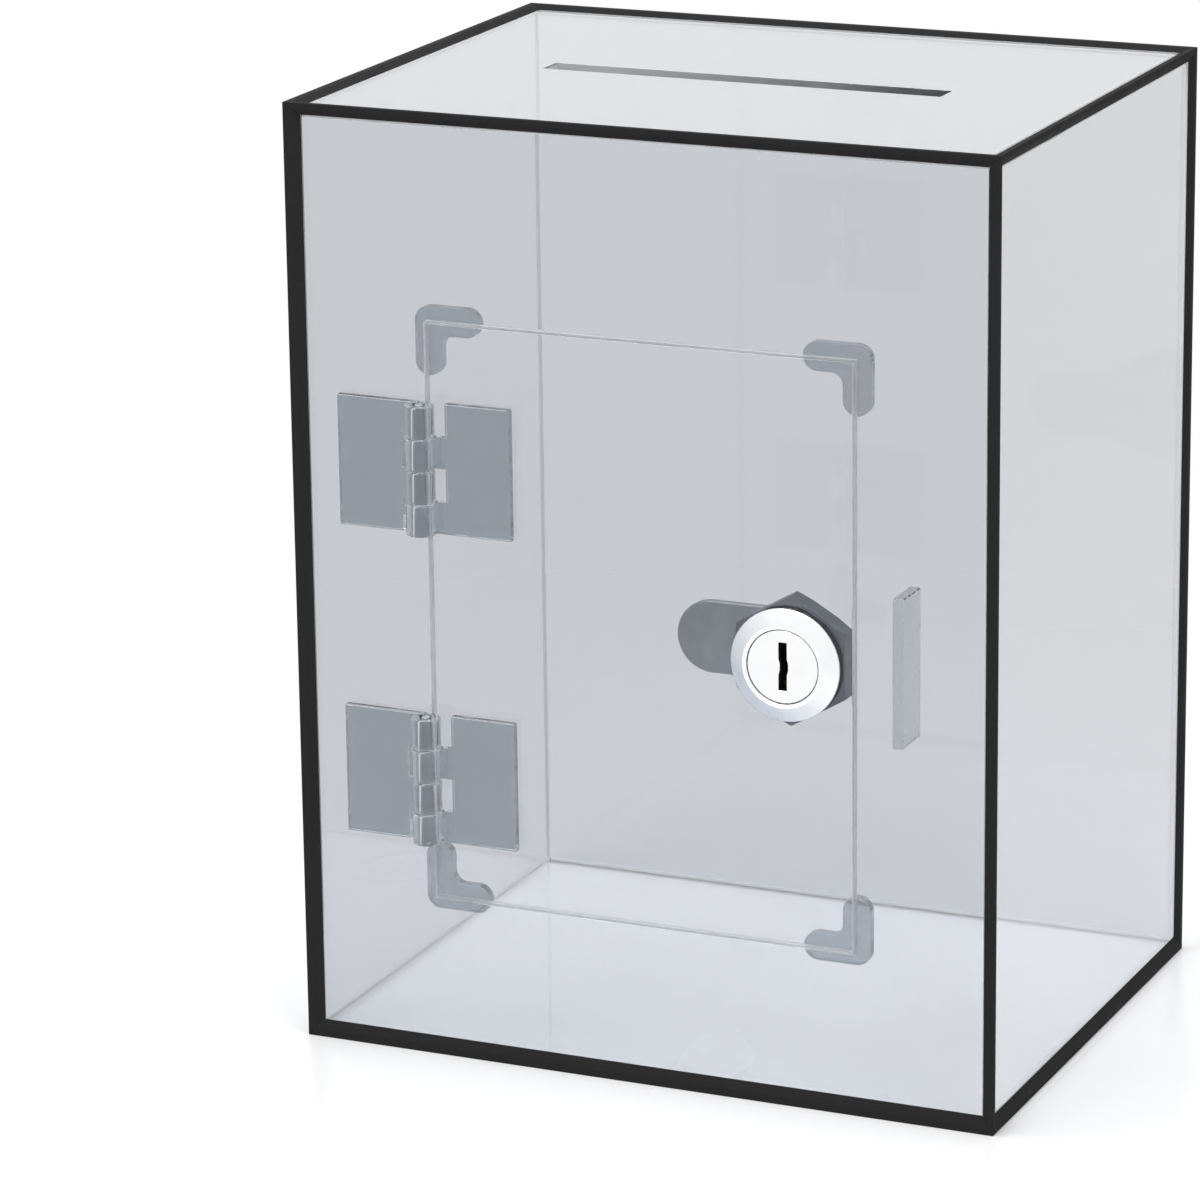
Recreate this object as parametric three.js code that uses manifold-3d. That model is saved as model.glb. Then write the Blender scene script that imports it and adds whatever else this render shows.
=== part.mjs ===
// Acrylic money box: a clear case with black edge strips, a money slot in the top and a lockable front door.
// Millimetres, +Z up. The front faces -Y, and the origin is on the ground under the middle of the whole box.

import * as THREE from 'three';
import { mergeVertices } from 'three/addons/utils/BufferGeometryUtils.js';
import Module from 'manifold-3d';

const wasm = await Module();
wasm.setup();

// Case: six acrylic sheets, glued edge to edge
const CASE_WIDTH = 190;
const CASE_DEPTH = 148;
const CASE_HEIGHT = 248;
const SHEET = 3;
const GLUE_GAP = 0.15;

// Edge strips: thin black angles over all twelve edges, narrowest on the left, back and bottom faces
const STRIP_THICKNESS = 0.8;
const ADHESIVE = 0.2;
const STRIP_OUT = STRIP_THICKNESS + ADHESIVE;
const LEG_WIDE = 4.7;
const LEG_NARROW = 3.1;
const LEG_LEAST = 2.4;
const MITRE_GAP = 0.1;

// Money slot in the top sheet
const SLOT_LENGTH = 110;
const SLOT_WIDTH = 8.5;
const SLOT_FORWARD = 2.5;

// Door: a panel cut out of the front sheet
const DOOR_HALF_WIDTH = 58;
const DOOR_BOTTOM = 43;
const DOOR_TOP = 196;
const DOOR_CUT = 0.6;

// Door stops: L-shaped tabs behind the corners of the door
const STOP_ARM = 18;
const STOP_WIDTH = 7.5;
const STOP_FILLET = 3;

// Hinges: two leaves with two knuckles each, on a loose pin
const HINGE_AXIS_OUT = 4.2;
const HINGE_HEIGHT = 34.2;
const HINGE_LEAF = 24;
const HINGE_LEAF_THICKNESS = 2.2;
const HINGE_CENTRES = { upper: 158.7, lower: 76.2 };
const KNUCKLE_COUNT = 4;
const KNUCKLE_RADIUS = 3.9;
const KNUCKLE_GAP = 0.3;
const KNUCKLE_NOTCH = 6.2;
const KNUCKLE_ROOT = 1.5;
const PIN_RADIUS = 1.5;
const PIN_BORE_RADIUS = 1.75;
const PIN_RECESS = 0.3;

// Cam lock: depths run from the door's front face towards the back
const LOCK_X = 40;
const LOCK_Z = 117;
const BEZEL_RADIUS = 14.65;
const BEZEL_FACE_RADIUS = 10.8;
const BEZEL_FRONT = -2.6;
const BEZEL_RIM_FRONT = -0.9;
const BARREL_RADIUS = 10.7;
const BARREL_HALF_FLATS = 9.4;
const BARREL_END = 16;
const LOCK_CLEARANCE = 0.3;
const NUT_ACROSS_FLATS = 29.4;
const NUT_THICKNESS = 7;
const PLUG_HEAD_RADIUS = 9.45;
const PLUG_HEAD_FRONT = -2.4;
const PLUG_HEAD_BACK = -0.4;
const PLUG_RADIUS = 7.7;
const PLUG_CLEARANCE = 0.2;
const PLUG_END = 15.8;
const TAIL_HALF = 4;
const TAIL_END = 18;
const KEYWAY_WIDTH = 2.2;
const KEYWAY_HALF_HEIGHT = 6.25;
const KEYWAY_BEND = 0.35;
const KEYWAY_BEND_STARTS = 2.1;
const KEYWAY_BEND_FULL = 0.8;
const KEY_CHANNEL_HALF_HEIGHT = 5.2;
const KEY_CHANNEL_END = 11.6;

// Wafers and their springs inside the plug
const WAFER_COUNT = 5;
const WAFER_FIRST_DEPTH = 1.6;
const WAFER_PITCH = 2.2;
const WAFER_THICKNESS = 0.8;
const WAFER_HALF_WIDTH = 4;
const WAFER_HALF_HEIGHT = 6.2;
const WAFER_WINDOW = [1.5, 4.6];
const WAFER_EAR_REACH = 6.2;
const WAFER_EAR_HEIGHTS = [-0.4, 0.8];
const WAFER_TRAVEL = 1.2;
const WAFER_CLEARANCE = 0.2;
const GROOVE_HALF_HEIGHT = 7.9;
const GROOVE_FRONT = 0.6;
const SPRING_X = 5.3;
const SPRING_RADIUS = 0.55;
const SPRING_WIRE_RADIUS = 0.15;
const SPRING_HEIGHTS = [-3.9, -0.75];
const SPRING_TURNS = 3;
const SPRING_STEPS_A_TURN = 8;
const SPRING_SIDES = 5;
const SPRING_POCKET_HALF = 0.9;
const SPRING_POCKET_FLOOR = -4.2;

// Cam, its washer and its screw on the tail of the plug
const CAM_FRONT = 16.4;
const CAM_THICKNESS = 2;
const CAM_HALF_WIDTH = 9.5;
const CAM_REACH = 36;
const CAM_WASHER_RADIUS = 5.5;
const CAM_WASHER_THICKNESS = 0.8;
const SCREW_HEAD_RADIUS = 3.75;
const SCREW_HEAD_HEIGHT = 2.2;
const SCREW_HEAD_SIDE = 1.1;
const SCREW_DOME_RADIUS = 3;
const SCREW_DOME_HEIGHT = 0.3;
const SCREW_SHANK_RADIUS = 1.5;
const SCREW_BORE_RADIUS = 1.75;
const SCREW_TIP = 13;
const SCREW_BORE_END = 12.6;
const SCREW_RECESS = [0.45, 1.9, 1.1];

// Strike: a strip standing on edge inside the front, which the cam turns behind
const STRIKE_X = [67.5, 70.5];
const STRIKE_Z = [97.5, 136.5];
const STRIKE_DEPTH = 12;

const ROUND_SIDES = 32;
const CORNER_STEPS = 8;
const JOIN_OVERLAP = 0.5;
const CUT_PAST = 1;

// Places worked out from the sizes. The knuckles stand out further than the back strips.
const TOTAL_DEPTH = HINGE_AXIS_OUT + KNUCKLE_RADIUS + CASE_DEPTH + STRIP_OUT;
const FRONT = HINGE_AXIS_OUT + KNUCKLE_RADIUS - TOTAL_DEPTH / 2;
const BACK = FRONT + CASE_DEPTH;
const SIDE = CASE_WIDTH / 2;
const FLOOR = STRIP_OUT;
const ROOF = FLOOR + CASE_HEIGHT;
const INSIDE = SHEET + GLUE_GAP;
const HINGE_X = -DOOR_HALF_WIDTH;

const FINISHES = {
  clearAcrylic: { color: 0xdfe4ea, roughness: 0.06, metalness: 0, transparent: true, opacity: 0.35 },
  smokeAcrylic: { color: 0x939aa2, roughness: 0.08, metalness: 0, transparent: true, opacity: 0.6 },
  blackStrip: { color: 0x2a2b2d, roughness: 0.5, metalness: 0 },
  chrome: { color: 0xe6e9ee, roughness: 0.12, metalness: 1 },
  steel: { color: 0x9aa1a8, roughness: 0.35, metalness: 1 },
  brass: { color: 0xc2a45c, roughness: 0.35, metalness: 1 },
};

const box = new THREE.Group();
box.name = 'acrylic_money_box';

function piece(parent, name, finish, geometry) {
  const material = new THREE.MeshStandardMaterial({ ...FINISHES[finish], flatShading: true });
  const mesh = new THREE.Mesh(geometry, material);
  mesh.name = name;
  parent.add(mesh);
}

function group(x, y, z) {
  const place = new THREE.Group();
  place.position.set(x, y, z);
  box.add(place);
  return place;
}

// Basic shapes

// Box between two values on each axis
function block([x0, x1], [y0, y1], [z0, z1]) {
  const geometry = new THREE.BoxGeometry(x1 - x0, y1 - y0, z1 - z0);
  return geometry.translate((x0 + x1) / 2, (y0 + y1) / 2, (z0 + z1) / 2);
}

// Round bar along Y
function rod(radius, from, to) {
  const geometry = new THREE.CylinderGeometry(radius, radius, to - from, ROUND_SIDES);
  return geometry.translate(0, (from + to) / 2, 0);
}

// Outline drawn in X and Z, given a thickness along Y
function prism(outline, from, to, curveSegments = CORNER_STEPS) {
  const settings = { depth: to - from, bevelEnabled: false, curveSegments };
  return new THREE.ExtrudeGeometry(outline, settings).rotateX(Math.PI / 2).translate(0, to, 0);
}

// Profile of radius and depth, turned round Y
function turned(profile) {
  const points = profile.map(([radius, depth]) => new THREE.Vector2(radius, depth));
  return new THREE.LatheGeometry(points, ROUND_SIDES);
}

function around(half) {
  return [-half, half];
}

// Joins and cuts

function solid(geometry) {
  const bare = geometry.clone();
  bare.deleteAttribute('normal');
  bare.deleteAttribute('uv');
  const merged = mergeVertices(bare);
  const mesh = new wasm.Mesh({
    numProp: 3,
    vertProperties: new Float32Array(merged.attributes.position.array),
    triVerts: new Uint32Array(merged.index.array),
  });
  return new wasm.Manifold(mesh);
}

function surface(body) {
  const mesh = body.getMesh();
  const geometry = new THREE.BufferGeometry();
  geometry.setAttribute('position', new THREE.BufferAttribute(mesh.vertProperties, 3));
  geometry.setIndex(new THREE.BufferAttribute(mesh.triVerts, 1));
  geometry.computeVertexNormals();
  return geometry;
}

function joined(geometries) {
  return geometries.map(solid).reduce((whole, next) => whole.add(next));
}

function carved(body, tools) {
  return tools.map(solid).reduce((rest, tool) => rest.subtract(tool), body);
}

// Case sheets

function makeCase() {
  const between = [FRONT + INSIDE, BACK - INSIDE];
  const inner = around(SIDE - INSIDE);
  const height = [FLOOR, ROOF];
  const doorway = block(
    around(DOOR_HALF_WIDTH + DOOR_CUT / 2),
    [FRONT - SHEET, FRONT + 2 * SHEET],
    [DOOR_BOTTOM - DOOR_CUT / 2, DOOR_TOP + DOOR_CUT / 2],
  );
  const front = block(around(SIDE), [FRONT, FRONT + SHEET], height);
  const slotY = (FRONT + BACK) / 2 - SLOT_FORWARD;
  const slot = block(
    around(SLOT_LENGTH / 2),
    [slotY - SLOT_WIDTH / 2, slotY + SLOT_WIDTH / 2],
    [ROOF - 2 * SHEET, ROOF + SHEET],
  );
  const top = block(inner, between, [ROOF - SHEET, ROOF]);
  piece(box, 'front_panel', 'clearAcrylic', surface(carved(solid(front), [doorway])));
  piece(box, 'back_panel', 'clearAcrylic', block(around(SIDE), [BACK - SHEET, BACK], height));
  piece(box, 'left_panel', 'clearAcrylic', block([-SIDE, -SIDE + SHEET], between, height));
  piece(box, 'right_panel', 'clearAcrylic', block([SIDE - SHEET, SIDE], between, height));
  piece(box, 'top_panel', 'clearAcrylic', surface(carved(solid(top), [slot])));
  piece(box, 'bottom_panel', 'clearAcrylic', block(inner, between, [FLOOR, FLOOR + SHEET]));
}

// Edge strips. A strip has a leg on each of the two faces that meet at its edge.

const REACH = [
  [-SIDE - STRIP_OUT, SIDE + STRIP_OUT],
  [FRONT - STRIP_OUT, BACK + STRIP_OUT],
  [0, ROOF + STRIP_OUT],
];

const FACES = {
  left: { axis: 0, side: -1 },
  right: { axis: 0, side: 1 },
  front: { axis: 1, side: -1 },
  back: { axis: 1, side: 1 },
  bottom: { axis: 2, side: -1 },
  top: { axis: 2, side: 1 },
};

// Width of a leg, by the face that it lies on and the face it runs beside
const LEGS = {
  front: { left: LEG_WIDE, bottom: LEG_WIDE, right: LEG_NARROW, top: LEG_NARROW },
  right: { back: LEG_WIDE, bottom: LEG_WIDE, front: LEG_NARROW, top: LEG_NARROW },
  top: { left: LEG_WIDE, back: LEG_WIDE, front: LEG_NARROW, right: LEG_NARROW },
};

function legWidth(face, beside) {
  return LEGS[face]?.[beside] ?? LEG_LEAST;
}

function outermost(face) {
  const { axis, side } = FACES[face];
  return REACH[axis][side < 0 ? 0 : 1];
}

function inwards(face, distance) {
  return outermost(face) - FACES[face].side * distance;
}

function stripLeg(face, beside) {
  const ranges = [...REACH];
  const thickness = [outermost(face), inwards(face, STRIP_THICKNESS)];
  const width = [outermost(beside), inwards(beside, legWidth(face, beside))];
  ranges[FACES[face].axis] = thickness.sort((a, b) => a - b);
  ranges[FACES[beside].axis] = width.sort((a, b) => a - b);
  return block(...ranges);
}

// Plane through a corner of one face, from the outer corner to where the inner sides of two legs meet
function mitrePlane(face, beside, end) {
  const normal = new THREE.Vector3();
  const corner = new THREE.Vector3();
  const slope = legWidth(face, end) / legWidth(face, beside);
  normal.setComponent(FACES[end].axis, -FACES[end].side);
  normal.setComponent(FACES[beside].axis, FACES[beside].side * slope);
  corner.setComponent(FACES[end].axis, inwards(end, MITRE_GAP));
  corner.setComponent(FACES[beside].axis, outermost(beside));
  return new THREE.Plane().setFromNormalAndCoplanarPoint(normal.normalize(), corner);
}

function makeStrip(face, other) {
  const usedAxes = [FACES[face].axis, FACES[other].axis];
  const ends = Object.keys(FACES).filter((name) => !usedAxes.includes(FACES[name].axis));
  let strip = joined([stripLeg(face, other), stripLeg(other, face)]);
  for (const end of ends) {
    for (const plane of [mitrePlane(face, other, end), mitrePlane(other, face, end)]) {
      strip = strip.trimByPlane(plane.normal.toArray(), -plane.constant);
    }
  }
  piece(box, `trim_${face}_${other}`, 'blackStrip', surface(strip));
}

function makeStrips() {
  for (const level of ['top', 'bottom']) {
    for (const wall of ['front', 'back', 'left', 'right']) {
      makeStrip(level, wall);
    }
  }
  for (const wall of ['front', 'back']) {
    for (const flank of ['left', 'right']) {
      makeStrip(wall, flank);
    }
  }
}

// Door stops and strike

// L with round arm ends, its corner on the corner of the door and its arms running to +X and -Z
function stopOutline() {
  const half = STOP_WIDTH / 2;
  const end = STOP_ARM - STOP_WIDTH;
  const inner = half + STOP_FILLET;
  const outline = new THREE.Shape();
  outline.moveTo(-half, -end);
  outline.lineTo(-half, 0);
  outline.absarc(0, 0, half, Math.PI, Math.PI / 2, true);
  outline.lineTo(end, half);
  outline.absarc(end, 0, half, Math.PI / 2, -Math.PI / 2, true);
  outline.lineTo(inner, -half);
  outline.absarc(inner, -inner, STOP_FILLET, Math.PI / 2, Math.PI, false);
  outline.lineTo(half, -end);
  outline.absarc(0, -end, half, 0, -Math.PI, true);
  return outline;
}

function makeStops() {
  const corners = [
    ['top_left', -DOOR_HALF_WIDTH, DOOR_TOP],
    ['top_right', DOOR_HALF_WIDTH, DOOR_TOP],
    ['bottom_right', DOOR_HALF_WIDTH, DOOR_BOTTOM],
    ['bottom_left', -DOOR_HALF_WIDTH, DOOR_BOTTOM],
  ];
  corners.forEach(([corner, x, z], turns) => {
    const stop = prism(stopOutline(), INSIDE, INSIDE + SHEET).rotateY(turns * Math.PI / 2);
    piece(group(x, FRONT, z), `door_stop_${corner}`, 'smokeAcrylic', stop);
  });
}

function makeStrike() {
  const front = FRONT + INSIDE;
  piece(box, 'latch_strike', 'smokeAcrylic', block(STRIKE_X, [front, front + STRIKE_DEPTH], STRIKE_Z));
}

// Hinges. Their axis is upright, and it stands in front of the cut on the door's left side.

function uprightRod(radius, from, to) {
  return rod(radius, from, to).rotateX(Math.PI / 2);
}

function hingeLeaf(side, ownKnuckles) {
  const pitch = HINGE_HEIGHT / KNUCKLE_COUNT;
  const back = HINGE_AXIS_OUT - GLUE_GAP;
  const reach = [side * KNUCKLE_ROOT, side * HINGE_LEAF].sort((a, b) => a - b);
  const plate = block(reach, [back - HINGE_LEAF_THICKNESS, back], [0, HINGE_HEIGHT]);
  const knuckles = [];
  const notches = [];
  for (let index = 0; index < KNUCKLE_COUNT; index += 1) {
    const low = index * pitch;
    if (ownKnuckles.includes(index)) {
      const heights = [low + KNUCKLE_GAP / 2, low + pitch - KNUCKLE_GAP / 2];
      knuckles.push(uprightRod(KNUCKLE_RADIUS, ...heights));
    } else {
      const heights = [low - KNUCKLE_GAP / 2, low + pitch + KNUCKLE_GAP / 2];
      notches.push(block(around(KNUCKLE_NOTCH), around(HINGE_AXIS_OUT), heights));
    }
  }
  const cutPlate = carved(solid(plate), notches);
  const leaf = knuckles.map(solid).reduce((whole, knuckle) => whole.add(knuckle), cutPlate);
  return surface(carved(leaf, [uprightRod(PIN_BORE_RADIUS, -KNUCKLE_GAP, HINGE_HEIGHT + KNUCKLE_GAP)]));
}

function makeHinges() {
  for (const [name, centre] of Object.entries(HINGE_CENTRES)) {
    const hinge = group(HINGE_X, FRONT - HINGE_AXIS_OUT, centre - HINGE_HEIGHT / 2);
    const pin = uprightRod(PIN_RADIUS, PIN_RECESS, HINGE_HEIGHT - PIN_RECESS);
    piece(hinge, `${name}_hinge_frame_leaf`, 'smokeAcrylic', hingeLeaf(-1, [1, 3]));
    piece(hinge, `${name}_hinge_door_leaf`, 'smokeAcrylic', hingeLeaf(1, [0, 2]));
    piece(hinge, `${name}_hinge_pin`, 'smokeAcrylic', pin);
  }
}

// Door panel, with a hole for the lock that has two flats

function doubleFlat(radius, halfFlats) {
  const angle = Math.acos(halfFlats / radius);
  const outline = new THREE.Shape();
  outline.absarc(0, 0, radius, angle, Math.PI - angle, false);
  outline.absarc(0, 0, radius, Math.PI + angle, -angle, false);
  return outline;
}

function makeDoor() {
  const half = DOOR_HALF_WIDTH - DOOR_CUT / 2;
  const heights = [DOOR_BOTTOM + DOOR_CUT / 2, DOOR_TOP - DOOR_CUT / 2];
  const panel = block(around(half), [FRONT, FRONT + SHEET], heights);
  const hole = prism(
    doubleFlat(BARREL_RADIUS + LOCK_CLEARANCE, BARREL_HALF_FLATS + LOCK_CLEARANCE),
    -SHEET,
    2 * SHEET,
  );
  hole.translate(LOCK_X, FRONT, LOCK_Z);
  piece(box, 'door_panel', 'clearAcrylic', surface(carved(solid(panel), [hole])));
}

// Cam lock, about an axis along Y. The cam points at the hinges, which is its unlocked place.

function lockHousing() {
  const bore = PLUG_RADIUS + PLUG_CLEARANCE;
  const recess = PLUG_HEAD_RADIUS + PLUG_CLEARANCE;
  const recessFloor = PLUG_HEAD_BACK + PLUG_CLEARANCE;
  const profile = [
    [recess, BEZEL_FRONT],
    [BEZEL_FACE_RADIUS, BEZEL_FRONT],
    [BEZEL_RADIUS, BEZEL_RIM_FRONT],
    [BEZEL_RADIUS, -GLUE_GAP],
    [BARREL_RADIUS, -GLUE_GAP],
    [BARREL_RADIUS, BARREL_END],
    [bore, BARREL_END],
    [bore, recessFloor],
    [recess, recessFloor],
    [recess, BEZEL_FRONT],
  ];
  const past = BARREL_END + CUT_PAST;
  const outside = BARREL_RADIUS + CUT_PAST;
  const grooveHalf = WAFER_HALF_WIDTH + 2 * WAFER_CLEARANCE;
  const grooves = block(around(grooveHalf), [GROOVE_FRONT, past], around(GROOVE_HALF_HEIGHT));
  const flats = [[-outside, -BARREL_HALF_FLATS], [BARREL_HALF_FLATS, outside]];
  const flatCuts = flats.map((reach) => block(reach, [0, past], around(BARREL_RADIUS)));
  return surface(carved(solid(turned(profile)), [grooves, ...flatCuts]));
}

function lockNut() {
  const outline = new THREE.Shape();
  const corner = NUT_ACROSS_FLATS / Math.sqrt(3);
  for (let index = 0; index < 6; index += 1) {
    const angle = Math.PI / 2 + index * Math.PI / 3;
    const place = [corner * Math.cos(angle), corner * Math.sin(angle)];
    outline[index === 0 ? 'moveTo' : 'lineTo'](...place);
  }
  const hole = new THREE.Path();
  hole.absarc(0, 0, BARREL_RADIUS + LOCK_CLEARANCE, 0, 2 * Math.PI, false);
  outline.holes.push(hole);
  return prism(outline, INSIDE, INSIDE + NUT_THICKNESS, ROUND_SIDES / 2);
}

// Upright slot with a slight sideways bend in its middle
function keywayOutline() {
  const half = KEYWAY_WIDTH / 2;
  const end = KEYWAY_HALF_HEIGHT;
  const middle = [
    [0, -end],
    [0, -KEYWAY_BEND_STARTS],
    [KEYWAY_BEND, -KEYWAY_BEND_FULL],
    [KEYWAY_BEND, KEYWAY_BEND_FULL],
    [0, KEYWAY_BEND_STARTS],
    [0, end],
  ];
  const right = middle.map(([x, z]) => new THREE.Vector2(x + half, z));
  const left = middle.map(([x, z]) => new THREE.Vector2(x - half, z));
  return new THREE.Shape([...right, ...left.reverse()]);
}

function waferDepth(index) {
  return WAFER_FIRST_DEPTH + index * WAFER_PITCH;
}

// The ears and springs lie on the right of one wafer and on the left of the next
function waferSide(index) {
  return index % 2 === 0 ? 1 : -1;
}

function towards(side, [near, far]) {
  return [side * near, side * far].sort((a, b) => a - b);
}

function waferCuts(index) {
  const side = waferSide(index);
  const depth = waferDepth(index);
  const half = WAFER_THICKNESS / 2 + WAFER_CLEARANCE;
  const thickness = [depth - half, depth + half];
  const slotHalf = WAFER_HALF_WIDTH + WAFER_CLEARANCE;
  const earHeights = [
    WAFER_EAR_HEIGHTS[0] - WAFER_CLEARANCE,
    WAFER_EAR_HEIGHTS[1] + WAFER_TRAVEL + WAFER_CLEARANCE,
  ];
  const earReach = towards(side, [WAFER_HALF_WIDTH, WAFER_EAR_REACH + WAFER_CLEARANCE]);
  const pocketReach = towards(side, [WAFER_HALF_WIDTH, SPRING_X + SPRING_POCKET_HALF]);
  const pocketDepth = [depth - SPRING_POCKET_HALF, depth + SPRING_POCKET_HALF];
  return [
    block(around(slotHalf), thickness, around(PLUG_RADIUS + CUT_PAST)),
    block(earReach, thickness, earHeights),
    block(pocketReach, pocketDepth, [SPRING_POCKET_FLOOR, 0]),
  ];
}

function lockPlug() {
  const body = joined([
    rod(PLUG_HEAD_RADIUS, PLUG_HEAD_FRONT, PLUG_HEAD_BACK),
    rod(PLUG_RADIUS, PLUG_HEAD_BACK - JOIN_OVERLAP, PLUG_END),
    block(around(TAIL_HALF), [PLUG_END - JOIN_OVERLAP, TAIL_END], around(TAIL_HALF)),
  ]);
  const cuts = [
    prism(keywayOutline(), PLUG_HEAD_FRONT - CUT_PAST, WAFER_FIRST_DEPTH),
    block(around(KEYWAY_WIDTH / 2), [0, KEY_CHANNEL_END], around(KEY_CHANNEL_HALF_HEIGHT)),
    rod(SCREW_BORE_RADIUS, SCREW_BORE_END, TAIL_END + CUT_PAST),
  ];
  for (let index = 0; index < WAFER_COUNT; index += 1) {
    cuts.push(...waferCuts(index));
  }
  return surface(carved(body, cuts));
}

function wafer(index) {
  const side = waferSide(index);
  const depth = waferDepth(index);
  const half = WAFER_THICKNESS / 2;
  const thickness = [depth - half, depth + half];
  const earReach = towards(side, [WAFER_HALF_WIDTH - JOIN_OVERLAP, WAFER_EAR_REACH]);
  const body = joined([
    block(around(WAFER_HALF_WIDTH), thickness, around(WAFER_HALF_HEIGHT)),
    block(earReach, thickness, WAFER_EAR_HEIGHTS),
  ]);
  const [windowHalf, windowHeight] = WAFER_WINDOW;
  const window = block(around(windowHalf), [depth - CUT_PAST, depth + CUT_PAST], around(windowHeight));
  return surface(carved(body, [window]));
}

class Helix extends THREE.Curve {
  constructor(x, y, [low, high]) {
    super();
    this.start = new THREE.Vector3(x, y, low);
    this.rise = high - low;
  }

  getPoint(t, target = new THREE.Vector3()) {
    const angle = 2 * Math.PI * SPRING_TURNS * t;
    target.set(SPRING_RADIUS * Math.cos(angle), SPRING_RADIUS * Math.sin(angle), this.rise * t);
    return target.add(this.start);
  }
}

// Gap between one turn of a spring and the next, measured between points a whole turn apart
function springGap(helix) {
  const points = helix.getPoints(SPRING_TURNS * SPRING_STEPS_A_TURN);
  const next = points.slice(SPRING_STEPS_A_TURN);
  const gaps = next.map((point, index) => point.distanceTo(points[index]) - 2 * SPRING_WIRE_RADIUS);
  return Math.min(...gaps);
}

function waferSpring(index) {
  const helix = new Helix(waferSide(index) * SPRING_X, waferDepth(index), SPRING_HEIGHTS);
  const wire = new THREE.Shape();
  for (let corner = 0; corner < SPRING_SIDES; corner += 1) {
    const angle = 2 * Math.PI * corner / SPRING_SIDES;
    const place = [SPRING_WIRE_RADIUS * Math.cos(angle), SPRING_WIRE_RADIUS * Math.sin(angle)];
    wire[corner === 0 ? 'moveTo' : 'lineTo'](...place);
  }
  const steps = SPRING_TURNS * SPRING_STEPS_A_TURN;
  console.log(`wafer spring ${index + 1}: least gap between turns ${springGap(helix).toFixed(2)} mm`);
  return new THREE.ExtrudeGeometry(wire, { steps, extrudePath: helix, bevelEnabled: false });
}

// Tongue with round ends and a square hole, pointing to -X
function lockCam() {
  const end = -(CAM_REACH - CAM_HALF_WIDTH);
  const outline = new THREE.Shape();
  outline.absarc(0, 0, CAM_HALF_WIDTH, -Math.PI / 2, Math.PI / 2, false);
  outline.absarc(end, 0, CAM_HALF_WIDTH, Math.PI / 2, 3 * Math.PI / 2, false);
  const hole = TAIL_HALF + PLUG_CLEARANCE;
  const square = [[-hole, -hole], [hole, -hole], [hole, hole], [-hole, hole]];
  outline.holes.push(new THREE.Path(square.map(([x, z]) => new THREE.Vector2(x, z))));
  return prism(outline, CAM_FRONT, CAM_FRONT + CAM_THICKNESS, ROUND_SIDES / 2);
}

const WASHER_FRONT = CAM_FRONT + CAM_THICKNESS + PLUG_CLEARANCE;
const SCREW_HEAD_FRONT = WASHER_FRONT + CAM_WASHER_THICKNESS + PLUG_CLEARANCE;

function camWasher() {
  const outline = new THREE.Shape();
  outline.absarc(0, 0, CAM_WASHER_RADIUS, 0, 2 * Math.PI, false);
  const hole = new THREE.Path();
  hole.absarc(0, 0, SCREW_BORE_RADIUS, 0, 2 * Math.PI, false);
  outline.holes.push(hole);
  return prism(outline, WASHER_FRONT, WASHER_FRONT + CAM_WASHER_THICKNESS, ROUND_SIDES / 2);
}

function camScrew() {
  const top = SCREW_HEAD_FRONT + SCREW_HEAD_HEIGHT;
  const screw = turned([
    [0, SCREW_TIP],
    [SCREW_SHANK_RADIUS, SCREW_TIP],
    [SCREW_SHANK_RADIUS, SCREW_HEAD_FRONT],
    [SCREW_HEAD_RADIUS, SCREW_HEAD_FRONT],
    [SCREW_HEAD_RADIUS, SCREW_HEAD_FRONT + SCREW_HEAD_SIDE],
    [SCREW_DOME_RADIUS, top - SCREW_DOME_HEIGHT],
    [0, top],
  ]);
  const [recessHalf, recessReach, recessDepth] = SCREW_RECESS;
  const deep = [top - recessDepth, top + CUT_PAST];
  const cross = [
    block(around(recessHalf), deep, around(recessReach)),
    block(around(recessReach), deep, around(recessHalf)),
  ];
  return surface(carved(solid(screw), cross));
}

function makeLock() {
  const lock = group(LOCK_X, FRONT, LOCK_Z);
  piece(lock, 'lock_housing', 'chrome', lockHousing());
  piece(lock, 'lock_nut', 'steel', lockNut());
  piece(lock, 'lock_plug', 'chrome', lockPlug());
  for (let index = 0; index < WAFER_COUNT; index += 1) {
    piece(lock, `wafer_${index + 1}`, 'brass', wafer(index));
    piece(lock, `wafer_spring_${index + 1}`, 'steel', waferSpring(index));
  }
  piece(lock, 'lock_cam', 'steel', lockCam());
  piece(lock, 'cam_washer', 'steel', camWasher());
  piece(lock, 'cam_screw', 'steel', camScrew());
}

makeCase();
makeStrips();
makeStops();
makeStrike();
makeHinges();
makeDoor();
makeLock();

export default box;
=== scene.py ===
# Looks of the acrylic money box: a clear case with black edge strips, a hinged front door and a cam lock.
# Metres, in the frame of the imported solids: +Z up, the front towards -Y.
import math

import bmesh
import bpy
from mathutils import Matrix, Vector


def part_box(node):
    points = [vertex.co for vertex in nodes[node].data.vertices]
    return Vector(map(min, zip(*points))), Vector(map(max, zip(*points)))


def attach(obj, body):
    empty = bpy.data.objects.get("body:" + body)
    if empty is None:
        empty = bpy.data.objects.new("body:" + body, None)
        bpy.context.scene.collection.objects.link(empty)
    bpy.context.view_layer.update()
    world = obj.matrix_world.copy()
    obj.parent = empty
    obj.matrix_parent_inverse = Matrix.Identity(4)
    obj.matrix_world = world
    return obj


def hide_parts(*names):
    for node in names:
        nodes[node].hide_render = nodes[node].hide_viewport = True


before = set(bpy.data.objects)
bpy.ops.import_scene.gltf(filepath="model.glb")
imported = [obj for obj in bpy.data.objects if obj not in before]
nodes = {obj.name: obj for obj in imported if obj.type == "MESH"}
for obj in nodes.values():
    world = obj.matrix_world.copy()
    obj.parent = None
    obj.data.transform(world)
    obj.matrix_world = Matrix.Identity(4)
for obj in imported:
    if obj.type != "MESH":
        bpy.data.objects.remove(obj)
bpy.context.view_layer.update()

MM = 0.001

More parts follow.
